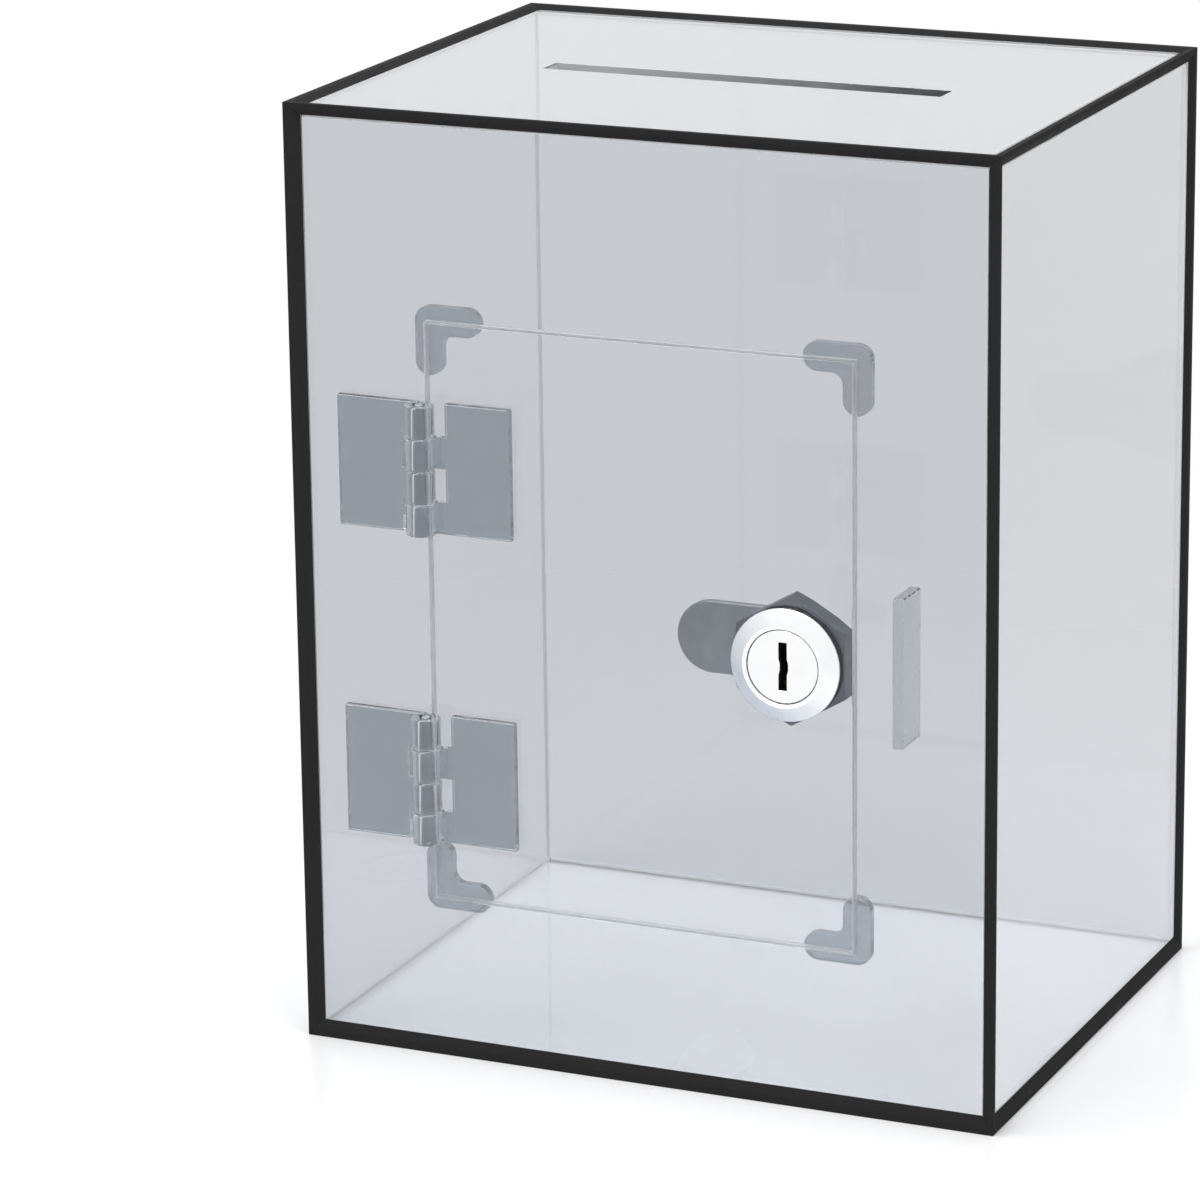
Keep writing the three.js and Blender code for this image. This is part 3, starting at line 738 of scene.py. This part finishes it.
def coil_tree():
    """Wires wound round the Z axis from 0 upwards, as a thread or as springs set in turn to both sides"""
    lengths = ("Radius", "Rise", "Turns", "Wire", "Aside", "Pitch")
    tree, given, result = geometry_tree("coil", lengths, ("Steps", "Sides", "Count"))
    spiral = add(tree, "GeometryNodeCurveSpiral")
    section = add(tree, "GeometryNodeCurvePrimitiveCircle")
    row = add(tree, "GeometryNodePoints")
    place = add(tree, "ShaderNodeCombineXYZ")
    index = add(tree, "GeometryNodeInputIndex").outputs["Index"]
    odd = math_node(tree, "MODULO", index, 2)
    side = math_node(tree, "SUBTRACT", 1, math_node(tree, "MULTIPLY", odd, 2))
    link(tree, math_node(tree, "MULTIPLY", side, given.outputs["Aside"]), place.inputs["X"])
    link(tree, math_node(tree, "MULTIPLY", index, given.outputs["Pitch"]), place.inputs["Y"])
    wire(
        tree,
        (given, "Steps", spiral, "Resolution"),
        (given, "Turns", spiral, "Rotations"),
        (given, "Radius", spiral, "Start Radius"),
        (given, "Radius", spiral, "End Radius"),
        (given, "Rise", spiral, "Height"),
        (given, "Sides", section, "Resolution"),
        (given, "Wire", section, "Radius"),
        (given, "Count", row, "Count"),
        (place, "Vector", row, "Position"),
    )
    finish_tree(tree, given, result, spiral, section, row.outputs["Points"])
    return tree


# Case sheets


def flat_box(node, across, up):
    """Lowest and highest corner of a node along two axes"""
    low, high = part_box(node)
    return (low[across], low[up]), (high[across], high[up])


def grow(corners, margin):
    (x0, y0), (x1, y1) = corners
    return (x0 - margin, y0 - margin), (x1 + margin, y1 + margin)


FACES = {"left": (0, 0), "right": (0, 1), "front": (1, 0), "back": (1, 1), "bottom": (2, 0), "top": (2, 1)}


def case_corners():
    """Lowest and highest corner of the six sheets together"""
    boxes = [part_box(f"{face}_panel") for face in FACES]
    low = Vector([min(box[0][axis] for box in boxes) for axis in range(3)])
    high = Vector([max(box[1][axis] for box in boxes) for axis in range(3)])
    return low, high


def make_case():
    """Six sheets bonded edge to edge, with no seam to be seen, the doorway and the slot cut through"""
    low, high = case_corners()
    front_low, front_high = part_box("front_panel")
    wall = front_high.y - front_low.y
    inset = Vector((wall, wall, wall))
    inner_low = low + inset
    inner_high = high - inset
    (left, bottom), (right, top) = grow(flat_box("door_panel", 0, 2), DOOR_CUT)
    doorway = block((left, low.y - MM, bottom), (right, inner_low.y + MM, top))
    slot_low = (-SLOT_LENGTH / 2, SLOT_MIDDLE_Y - SLOT_WIDTH / 2, inner_high.z - MM)
    slot_high = (SLOT_LENGTH / 2, SLOT_MIDDLE_Y + SLOT_WIDTH / 2, high.z + MM)
    hollow = combined(block(inner_low, inner_high), doorway, "UNION")
    hollow = combined(hollow, block(slot_low, slot_high), "UNION")
    mesh = eased(combined(block(low, high), hollow, "DIFFERENCE"), SHEET_EASE)

    def split_behind_front(shape):
        geometry = [*shape.verts, *shape.edges, *shape.faces]
        bmesh.ops.bisect_plane(shape, geom=geometry, plane_co=inner_low, plane_no=(0, 1, 0))

    def is_lit_top(face):
        return abs(face.normal.z) > FACING and face.center.z > inner_high.z - SAME_PLACE

    def is_lit_base(face):
        return abs(face.normal.z) > FACING and face.center.z < inner_low.z + SAME_PLACE

    def is_cut(face):
        inside = low.y + SAME_PLACE < face.center.y < inner_low.y - SAME_PLACE
        return inside and abs(face.normal.y) < EDGE_ON

    def is_shaded_level_cut(face):
        between = inner_low.z < face.center.z < inner_high.z
        return is_cut(face) and between and abs(face.normal.z) > MOSTLY

    def is_lit_upright_cut(face):
        return is_cut(face) and abs(face.normal.x) > MOSTLY

    def is_shaded_slot_back(face):
        inside = inner_high.z + SAME_PLACE < face.center.z < high.z - SAME_PLACE
        return inside and face.normal.y < -FACING

    edited(mesh, split_behind_front)
    # Painted light: lighter copies of the clear sheet on the top and the base. Painted light and shade: the
    # cut edges toned by which way they face, and painted shade on the slot's back edge from left to right.
    others = (
        (CLEAR_TOP_PAINTED_LIGHT, is_lit_top),
        (CLEAR_BASE_PAINTED_LIGHT, is_lit_base),
        (LEVEL_EDGE_PAINTED_SHADE, is_shaded_level_cut),
        (UPRIGHT_EDGE_PAINTED_LIGHT, is_lit_upright_cut),
        (SLOT_EDGE_PAINTED_SHADE, is_shaded_slot_back),
    )
    sheets = [f"{face}_panel" for face in FACES]
    finished("clear_case", mesh, CLEAR_SHEET, "clear_acrylic", "case", *sheets, others=others)


def glue_box(first, second):
    """Thin gap between two sheets that meet, as its lowest and highest corner, or None where they don't"""
    first_low, first_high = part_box(f"{first}_panel")
    second_low, second_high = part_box(f"{second}_panel")
    low = Vector([max(a, b) for a, b in zip(first_low, second_low)])
    high = Vector([min(a, b) for a, b in zip(first_high, second_high)])
    gaps = [axis for axis in range(3) if high[axis] < low[axis]]
    if len(gaps) != 1:
        return None
    for axis in range(3):
        if axis in gaps:
            low[axis], high[axis] = high[axis] + GLUE_INSET, low[axis] - GLUE_INSET
        else:
            low[axis] += GLUE_SHORT
            high[axis] -= GLUE_SHORT
    return low, high


def make_glue():
    """Milky lines of glue where the edge of one sheet meets the face of another"""
    names = list(FACES)
    lines = bmesh.new()
    for index, first in enumerate(names):
        for second in names[index + 1:]:
            corners = glue_box(first, second)
            if corners and FACES[first][0] != FACES[second][0]:
                lines.from_mesh(block(*corners))
    finished("glue_lines", mesh_from(lines, "glue"), MILKY_FILM, "clear_acrylic", "case")


# Edge strips


def strip_node(face, other):
    name = f"trim_{face}_{other}"
    return name if name in nodes else f"trim_{other}_{face}"


def outermost(face, other):
    """Place of a strip's outer face along the axis of the face that it lies on"""
    axis, side = FACES[face]
    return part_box(strip_node(face, other))[side][axis]


def inwards(face):
    """Direction from a face of the case to its inside, along the face's axis"""
    return -1 if FACES[face][1] else 1


def leg_width(face, beside):
    """Width of the leg that lies on a face, from the outer face of the leg beside it"""
    node = strip_node(face, beside)
    axis = FACES[face][0]
    across = FACES[beside][0]
    outer = outermost(face, beside)
    edge = outermost(beside, face)
    on_face = [v.co for v in nodes[node].data.vertices if abs(v.co[axis] - outer) < SAME_PLACE]
    return max(abs(place[across] - edge) for place in on_face)


def strip_section(first, second, deep):
    """Section of a strip, as distances in from its outer faces, with legs that thin out to their edges"""
    thin = deep - STRIP_THIN_EDGE
    flat = 1 - STRIP_TAPER
    bend = arc((0, 0), STRIP_ROUND, 0, 90)[::STRIP_ROUND_STRIDE]
    corner = [(STRIP_ROUND - x, STRIP_ROUND - y) for x, y in bend]
    first_leg = [(flat * first, 0), (first, thin), (first, deep)]
    second_leg = [(deep, second), (thin, second), (0, flat * second)]
    return [*corner, *first_leg, (deep, deep), *second_leg]


def strip_mesh(face, other, deep):
    """Strip along the edge of two faces, mitred at each end to meet the strips of the two end faces"""
    first = leg_width(face, other)
    second = leg_width(other, face)
    along = 3 - FACES[face][0] - FACES[other][0]
    section = strip_section(first, second, deep)
    shape = bmesh.new()
    rings = []
    for end in [name for name, (axis, _) in FACES.items() if axis == along]:
        first_slope = leg_width(face, end) / first
        second_slope = leg_width(other, end) / second
        ring = []
        for across, depth in section:
            place = Vector()
            set_back = MITRE_GAP + max(first_slope * across, second_slope * depth)
            sides = ((other, face, across), (face, other, depth), (end, face, set_back))
            for name, beside, distance in sides:
                place[FACES[name][0]] = outermost(name, beside) + inwards(name) * distance
            ring.append(shape.verts.new(place))
        rings.append(ring)
    count = len(section)
    for here in range(count):
        after = (here + 1) % count
        shape.faces.new((rings[0][here], rings[0][after], rings[1][after], rings[1][here]))
    ends = [shape.faces.new(ring) for ring in rings]
    bmesh.ops.triangulate(shape, faces=ends)
    return closed(mesh_from(shape, "strip"))


def make_strips():
    """Black strips with milky adhesive on their inner faces, which shows through the sheets"""
    levels = [(level, wall) for level in ("top", "bottom") for wall in ("front", "back", "left", "right")]
    posts = [(wall, flank) for wall in ("front", "back") for flank in ("left", "right")]
    for face, other in levels + posts:
        axis, side = FACES[face]
        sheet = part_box(f"{face}_panel")[side][axis]
        deep = abs(outermost(face, other) - sheet) - STRIP_SHEET_GAP
        glued = [
            (FACES[name][0], outermost(name, beside) + inwards(name) * deep)
            for name, beside in ((face, other), (other, face))
        ]

        def is_glued(surface):
            return any(
                abs(surface.center[axis] - place) < SAME_PLACE and abs(surface.normal[axis]) > FACING
                for axis, place in glued
            )

        name = f"strip_{face}_{other}"
        node = strip_node(face, other)
        mesh = strip_mesh(face, other, deep)
        others = ((MILKY_FILM, is_glued),)
        finished(name, mesh, BLACK_STRIP, "black_strip", "case", node, others=others, sharp=STRIP_SHARP)


# Door, stops and strike


def double_flat(radius, half_flats, middle):
    """Circle with a flat on its left and right"""
    angle = math.degrees(math.acos(half_flats / radius))
    return arc(middle, radius, angle, 180 - angle) + arc(middle, radius, 180 + angle, 360 - angle)


def lock_middle():
    low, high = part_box("lock_housing")
    return (low.x + high.x) / 2, (low.z + high.z) / 2


def door_face():
    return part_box("door_panel")[0].y


def make_door():
    low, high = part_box("door_panel")
    hole = double_flat(BARREL_RADIUS + LOCK_CLEARANCE, BARREL_HALF_FLATS + LOCK_CLEARANCE, lock_middle())
    mesh = plate([rectangle(*flat_box("door_panel", 0, 2)), hole], high.y - low.y, SHEET_EASE)
    moved(mesh, standing(low.y))

    def is_shaded_level_cut(face):
        return abs(face.normal.y) < EDGE_ON and abs(face.normal.z) > MOSTLY

    def is_lit_upright_cut(face):
        return abs(face.normal.y) < EDGE_ON and abs(face.normal.z) < MOSTLY

    # The door's cut edges are toned by which way they face: painted shade on the level ones, painted light
    # on the upright ones
    others = ((LEVEL_EDGE_PAINTED_SHADE, is_shaded_level_cut), (UPRIGHT_EDGE_PAINTED_LIGHT, is_lit_upright_cut))
    finished("door_sheet", mesh, CLEAR_SHEET, "clear_acrylic", "door", "door_panel", others=others)


def stop_outline():
    """L with round arm ends, its corner at the origin and its arms running to +X and -Y"""
    half = STOP_WIDTH / 2
    end = STOP_ARM - STOP_WIDTH
    inner = half + STOP_FILLET
    return (
        arc((0, -end), half, 360, 180)
        + arc((0, 0), half, 180, 90)
        + arc((end, 0), half, 90, -90)
        + arc((inner, -inner), STOP_FILLET, 90, 180)
    )


def make_stops():
    (left, bottom), (right, top) = grow(flat_box("door_panel", 0, 2), DOOR_CUT / 2)
    corners = {
        "top_left": (left, top),
        "top_right": (right, top),
        "bottom_right": (right, bottom),
        "bottom_left": (left, bottom),
    }
    for turns, (corner, (x, z)) in enumerate(corners.items()):
        node = f"door_stop_{corner}"
        low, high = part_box(node)
        mesh = plate([stop_outline()], high.y - low.y, STOP_EASE)
        mesh.transform(Matrix.Rotation(-turns * math.pi / 2, 4, "Z"))
        moved(mesh, Matrix.Translation((x, 0, z)) @ standing(low.y))
        finished(f"stop_{corner}", mesh, SMOKY_STOP, "smoke_acrylic", "case", node)
    mesh = softened("latch_strike", STOP_EASE)
    finished("strike_bar", mesh, CLEAR_BAR, "smoke_acrylic", "case", "latch_strike")


# Hinges


def leaf_plate(side, reach, height, back, notched):
    """Plate of one leaf, with notches for the knuckles of the other leaf"""
    pitch = height / KNUCKLE_COUNT
    outline = [(reach, 0), (reach, height)]
    for index in reversed(range(KNUCKLE_COUNT)):
        widen = KNUCKLE_GAP / 2 if index in notched else -KNUCKLE_GAP / 2
        root = KNUCKLE_NOTCH if index in notched else KNUCKLE_ROOT
        low = max(index * pitch - widen, 0)
        high = min((index + 1) * pitch + widen, height)
        outline += [(root, high), (root, low)]
    loop = [(side * x, z) for x, z in outline]
    mesh = plate([loop], LEAF_THICKNESS, LEAF_EASE)
    return moved(mesh, standing(back - LEAF_THICKNESS))


def hinge_leaf(side, reach, height, back, own, tree):
    """Leaf with its two knuckles, standing on the hinge axis"""
    pitch = height / KNUCKLE_COUNT
    others = [index for index in range(KNUCKLE_COUNT) if index not in own]
    knuckles = grown(tree, SMOKY_KNUCKLE, {
        "Radius": KNUCKLE_RADIUS, "Bore": PIN_BORE, "Height": pitch - KNUCKLE_GAP, "Round": KNUCKLE_ROUND,
        "Start": (own[0] + 0.5) * pitch, "Spacing": 2 * pitch, "Count": len(own),
    })
    return combined(leaf_plate(side, reach, height, back, others), knuckles, "UNION")


def make_hinges():
    tree = knuckle_row_tree()
    for name in ("upper", "lower"):
        pin_low, pin_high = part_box(f"{name}_hinge_pin")
        axis = (pin_low + pin_high) / 2
        for kind, side, own, body in (("frame", -1, (1, 3), "case"), ("door", 1, (0, 2), "door")):
            node = f"{name}_hinge_{kind}_leaf"
            low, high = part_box(node)
            reach = max(abs(low.x - axis.x), abs(high.x - axis.x))
            height = 2 * (axis.z - min(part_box(f"{name}_hinge_{k}_leaf")[0].z for k in ("frame", "door")))
            mesh = hinge_leaf(side, reach, height, high.y - axis.y, own, tree)
            moved(mesh, Matrix.Translation((axis.x, axis.y, axis.z - height / 2)))

            def is_knuckle(face):
                aside = math.hypot(face.center.x - axis.x, face.center.y - axis.y)
                return aside < KNUCKLE_RADIUS + SAME_PLACE

            others = ((SMOKY_KNUCKLE, is_knuckle),)
            finished(f"{name}_{kind}_leaf", mesh, SMOKY_LEAF, "smoke_acrylic", body, node, others=others)
        radius = half_width(f"{name}_hinge_pin")
        length = pin_high.z - pin_low.z
        profile = rounded([(0, 0), (radius, 0), (radius, length), (0, length)], PIN_ROUND, skip=(0, 3))
        mesh = turned(profile, ROUND_STEPS // 2)
        mesh.transform(Matrix.Rotation(math.pi / 2, 4, "X"))
        moved(mesh, Matrix.Translation((axis.x, axis.y, pin_low.z)))
        finished(f"{name}_pin", mesh, SMOKY_PIN, "smoke_acrylic", "case", f"{name}_hinge_pin")


# Cam lock


def lock_place():
    """Moves a shape from the lock's own axis and the door's front face to its place"""
    x, z = lock_middle()
    return Matrix.Translation((x, door_face(), z))


def lock_depths(node):
    """Front and back of one of the lock's nodes, from the door's front face"""
    low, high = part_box(node)
    return low.y - door_face(), high.y - door_face()


def flattened(mesh, half, front):
    """Barrel with its left and right sides pressed flat behind a depth"""
    for vertex in mesh.vertices:
        if vertex.co.y > front:
            vertex.co.x = max(-half, min(half, vertex.co.x))
    return mesh


def make_housing(coil):
    front, end = lock_depths("lock_housing")
    rim = half_width("lock_housing")
    core = BARREL_RADIUS - THREAD_HEIGHT
    bezel = [(RECESS_RADIUS, front), (BEZEL_FACE_RADIUS, front), (rim, BEZEL_RIM_DEPTH), (rim, BEZEL_BACK)]
    barrel = [(core, BEZEL_BACK), (core, end), (BORE_RADIUS, end)]
    recess = [(BORE_RADIUS, RECESS_FLOOR), (RECESS_RADIUS, RECESS_FLOOR)]
    profile = rounded(bezel + barrel + recess, BEZEL_ROUND)
    mesh = flattened(turned(profile, 2 * ROUND_STEPS), BARREL_HALF_FLATS, BARREL_FLATS_FRONT)
    half_x, half_z = GROOVE_HALF
    groove = block((-half_x, GROOVE_FRONT, -half_z), (half_x, end + MM, half_z))
    mesh = moved(combined(mesh, groove, "DIFFERENCE"), lock_place())
    x, z = lock_middle()

    # The bevel's faces get chrome with a painted highlight at the upper right and painted shade at the
    # lower left
    def on_painted_bevel(surface):
        aside = math.hypot(surface.center.x - x, surface.center.z - z)
        return aside > BEZEL_FACE_RADIUS and surface.center.y < door_face()

    others = ((BEVEL_CHROME_PAINTED_LIGHT, on_painted_bevel),)
    finished("lock_bezel", mesh, BRIGHT_CHROME, "chrome", "door", "lock_housing", others=others)
    turns = (end - THREAD_START) / THREAD_PITCH - 1
    thread = grown(coil, SATIN_ZINC, {
        "Radius": core, "Rise": turns * THREAD_PITCH, "Turns": turns, "Steps": ROUND_STEPS // 2,
        "Wire": THREAD_HEIGHT, "Sides": THREAD_SIDES, "Aside": 0.0, "Pitch": 0.0, "Count": 1,
    })
    thread.transform(Matrix.Rotation(-math.pi / 2, 4, "X"))
    thread.transform(Matrix.Translation((0, THREAD_START + THREAD_HEIGHT, 0)))
    flattened(thread, BARREL_HALF_FLATS, 0)
    finished("lock_thread", moved(thread, lock_place()), SATIN_ZINC, "chrome", "door")


def make_nut():
    front, back = lock_depths("lock_nut")
    thickness = back - front
    half_flats = half_width("lock_nut")
    corner = half_flats / math.cos(math.pi / 6)
    hexagon = [(corner * math.sin(i * math.pi / 3), corner * math.cos(i * math.pi / 3)) for i in range(6)]
    bore = arc((0, 0), BARREL_RADIUS + LOCK_CLEARANCE, 0, 360)[:-1]
    mesh = moved(plate([hexagon, bore], thickness, NUT_EASE), standing(0))
    past = corner + MM
    slope = (past - half_flats) * math.tan(NUT_CHAMFER)
    lower = [(0, 0), (half_flats, 0), (past, slope)]
    upper = [(radius, thickness - height) for radius, height in reversed(lower)]
    cone = turned(lower + upper)
    mesh = combined(mesh, cone, "INTERSECT")
    moved(mesh, lock_place() @ Matrix.Translation((0, front, 0)))
    finished("hex_nut", mesh, DARK_ZINC, "plated_steel", "door", "lock_nut")


def make_plug():
    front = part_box("lock_plug")[0].y

    def on_face(edge):
        return all(abs(vertex.co.y - front) < SAME_PLACE for vertex in edge.verts)

    # Faces deep in the keyway get a near-black painted shade
    def in_keyway_shade(face):
        aside = math.hypot(face.center.x - x, face.center.z - z)
        return face.center.y > front + KEYWAY_LIP and aside < KEYWAY_REACH

    x, z = lock_middle()
    mesh = closed(softened("lock_plug", FACE_EASE, PLUG_EASED_ANGLE, on_face))
    others = ((KEYWAY_PAINTED_SHADE, in_keyway_shade),)
    finished("key_plug", mesh, BRIGHT_CHROME, "chrome", "lock_core", "lock_plug", others=others)
    for number in range(1, WAFER_COUNT + 1):
        node = f"wafer_{number}"
        wafer = closed(softened(node, WAFER_EASE))
        finished(f"lock_wafer_{number}", wafer, STAMPED_BRASS, "brass", "wafers", node)


def make_springs(coil):
    springs = [f"wafer_spring_{number}" for number in range(1, WAFER_COUNT + 1)]
    low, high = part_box(springs[0])
    rise = high.z - low.z - 2 * SPRING_WIRE
    mesh = grown(coil, SPRING_STEEL, {
        "Radius": SPRING_RADIUS, "Rise": rise, "Turns": SPRING_TURNS, "Steps": SPRING_STEPS,
        "Wire": SPRING_WIRE, "Sides": SPRING_SIDES,
        "Aside": SPRING_X, "Pitch": WAFER_PITCH, "Count": WAFER_COUNT,
    })
    x, _ = lock_middle()
    depth = door_face() + WAFER_FIRST
    moved(mesh, Matrix.Translation((x, depth, low.z + SPRING_WIRE)))
    finished("wafer_coils", mesh, SPRING_STEEL, "plated_steel", "lock_core", *springs)


def flat_piece(name, node, loops, ease):
    """Flat piece behind the lock, as thick and as deep in as its node"""
    front, back = lock_depths(node)
    mesh = plate(loops, back - front, ease)
    moved(mesh, lock_place() @ standing(front))
    finished(name, mesh, SATIN_ZINC, "plated_steel", "lock_core", node)


def make_cam():
    x, _ = lock_middle()
    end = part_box("lock_cam")[0].x - x + CAM_HALF_WIDTH
    outline = arc((0, 0), CAM_HALF_WIDTH, -90, 90) + arc((end, 0), CAM_HALF_WIDTH, 90, 270)
    half = CAM_HOLE_HALF
    flat_piece("cam", "lock_cam", [outline, rectangle((-half, -half), (half, half))], CAM_EASE)
    rings = [arc((0, 0), radius, 0, 360)[:-1] for radius in (half_width("cam_washer"), WASHER_HOLE)]
    flat_piece("washer", "cam_washer", rings, WAFER_EASE)


def make_screw():
    tip, top = lock_depths("cam_screw")
    head = half_width("cam_screw")
    seat = top - SCREW_HEAD_HEIGHT
    dome_share, dome_drop = SCREW_DOME
    shank = [(0, tip), (SCREW_SHANK, tip), (SCREW_SHANK, seat)]
    side = [(head, seat), (head, top - SCREW_HEAD_HEIGHT / 2)]
    dome = [(dome_share * head, top - dome_drop), (0, top)]
    mesh = turned(rounded(shank + side + dome, NUT_EASE, skip=(0, 6)), ROUND_STEPS // 2)
    half, reach, deep = SCREW_CROSS
    for x, z in ((half, reach), (reach, half)):
        mesh = combined(mesh, block((-x, top - deep, -z), (x, top + MM, z)), "DIFFERENCE")
    finished("screw", moved(mesh, lock_place()), SATIN_ZINC, "plated_steel", "lock_core", "cam_screw")


def make_lock():
    coil = coil_tree()
    make_housing(coil)
    make_nut()
    make_plug()
    make_springs(coil)
    make_cam()
    make_screw()


# Stage


def pale_floor():
    """Near-white table top that keeps the shadow near the box and fades to white further out"""
    finish = clouded("pale_floor", FLOOR_TINTS, 3, (6, 0.22, 0.28), IOR=1.4)
    tree = finish.tree
    near, far = FLOOR_FADE
    values = {"From Min": near, "From Max": far}
    distance = add(tree, "ShaderNodeVectorMath", operation="LENGTH")
    fade = add(tree, "ShaderNodeMapRange", values, interpolation_type="SMOOTHSTEP")
    white = add(tree, "ShaderNodeEmission", {"Strength": 1.0})
    link(tree, finish.place, distance.inputs[0])
    wire(tree, (distance, "Value", fade, "Value"))
    share = math_node(tree, "MULTIPLY", fade.outputs["Result"], seen_share(tree))
    finish.mixed(share, white.outputs["Emission"])
    return finish.material


def make_floor():
    shape = bmesh.new()
    bmesh.ops.create_grid(shape, x_segments=FLOOR_CELLS, y_segments=FLOOR_CELLS, size=FLOOR_SIZE)
    mesh = mesh_from(shape, "floor")
    mesh.materials.append(pale_floor())
    floor = bpy.data.objects.new("floor", mesh)
    bpy.context.scene.collection.objects.link(floor)


def make_world():
    """White all round for what is seen or mirrored, and a softer level for light that falls on things"""
    world = bpy.data.worlds.new("studio")
    world.use_nodes = True
    tree = world.node_tree
    tree.nodes.clear()
    light = add(tree, "ShaderNodeBackground", {"Color": (1, 1, 1, 1), "Strength": WORLD_LIGHT})
    white = add(tree, "ShaderNodeBackground", {"Color": (1, 1, 1, 1), "Strength": 1.0})
    mix = add(tree, "ShaderNodeMixShader")
    output = add(tree, "ShaderNodeOutputWorld")
    link(tree, seen_share(tree), mix.inputs["Fac"])
    wire(
        tree,
        (light, "Background", mix, 1),
        (white, "Background", mix, 2),
        (mix, "Shader", output, "Surface"),
    )
    bpy.context.scene.world = world


def softbox(name, place, size, power):
    """Square lamp that isn't seen through the clear sheets"""
    lamp = bpy.data.lights.new(name, "AREA")
    lamp.shape = "SQUARE"
    lamp.size = size
    lamp.energy = power
    thing = bpy.data.objects.new(name, lamp)
    thing.visible_transmission = False
    thing.location = place
    thing.rotation_euler = (Vector(LIGHT_TARGET) - Vector(place)).to_track_quat("-Z", "Y").to_euler()
    bpy.context.scene.collection.objects.link(thing)


def make_camera():
    lens = bpy.data.cameras.new("camera")
    lens.lens = CAMERA_LENS
    lens.clip_start, lens.clip_end = CAMERA_CLIP
    camera = bpy.data.objects.new("camera", lens)
    camera.location = CAMERA_PLACE
    yaw = Matrix.Rotation(CAMERA_YAW, 3, "Z")
    pitch = Matrix.Rotation(math.pi / 2 - CAMERA_PITCH, 3, "X")
    roll = Matrix.Rotation(CAMERA_ROLL, 3, "Z")
    camera.rotation_euler = (yaw @ pitch @ roll).to_euler()
    bpy.context.scene.collection.objects.link(camera)
    bpy.context.scene.camera = camera


def make_stage():
    make_floor()
    make_world()
    softbox("key_light", *KEY_LIGHT)
    softbox("fill_light", *FILL_LIGHT)
    make_camera()
    scene = bpy.context.scene
    scene.view_settings.view_transform = "Standard"
    scene.cycles.max_bounces = LIGHT_BOUNCES
    scene.cycles.transmission_bounces = LIGHT_BOUNCES
    scene.cycles.glossy_bounces = MIRROR_BOUNCES
    scene.cycles.transparent_max_bounces = CLEAR_BOUNCES


make_case()
make_glue()
make_strips()
make_door()
make_stops()
make_hinges()
make_lock()
make_stage()
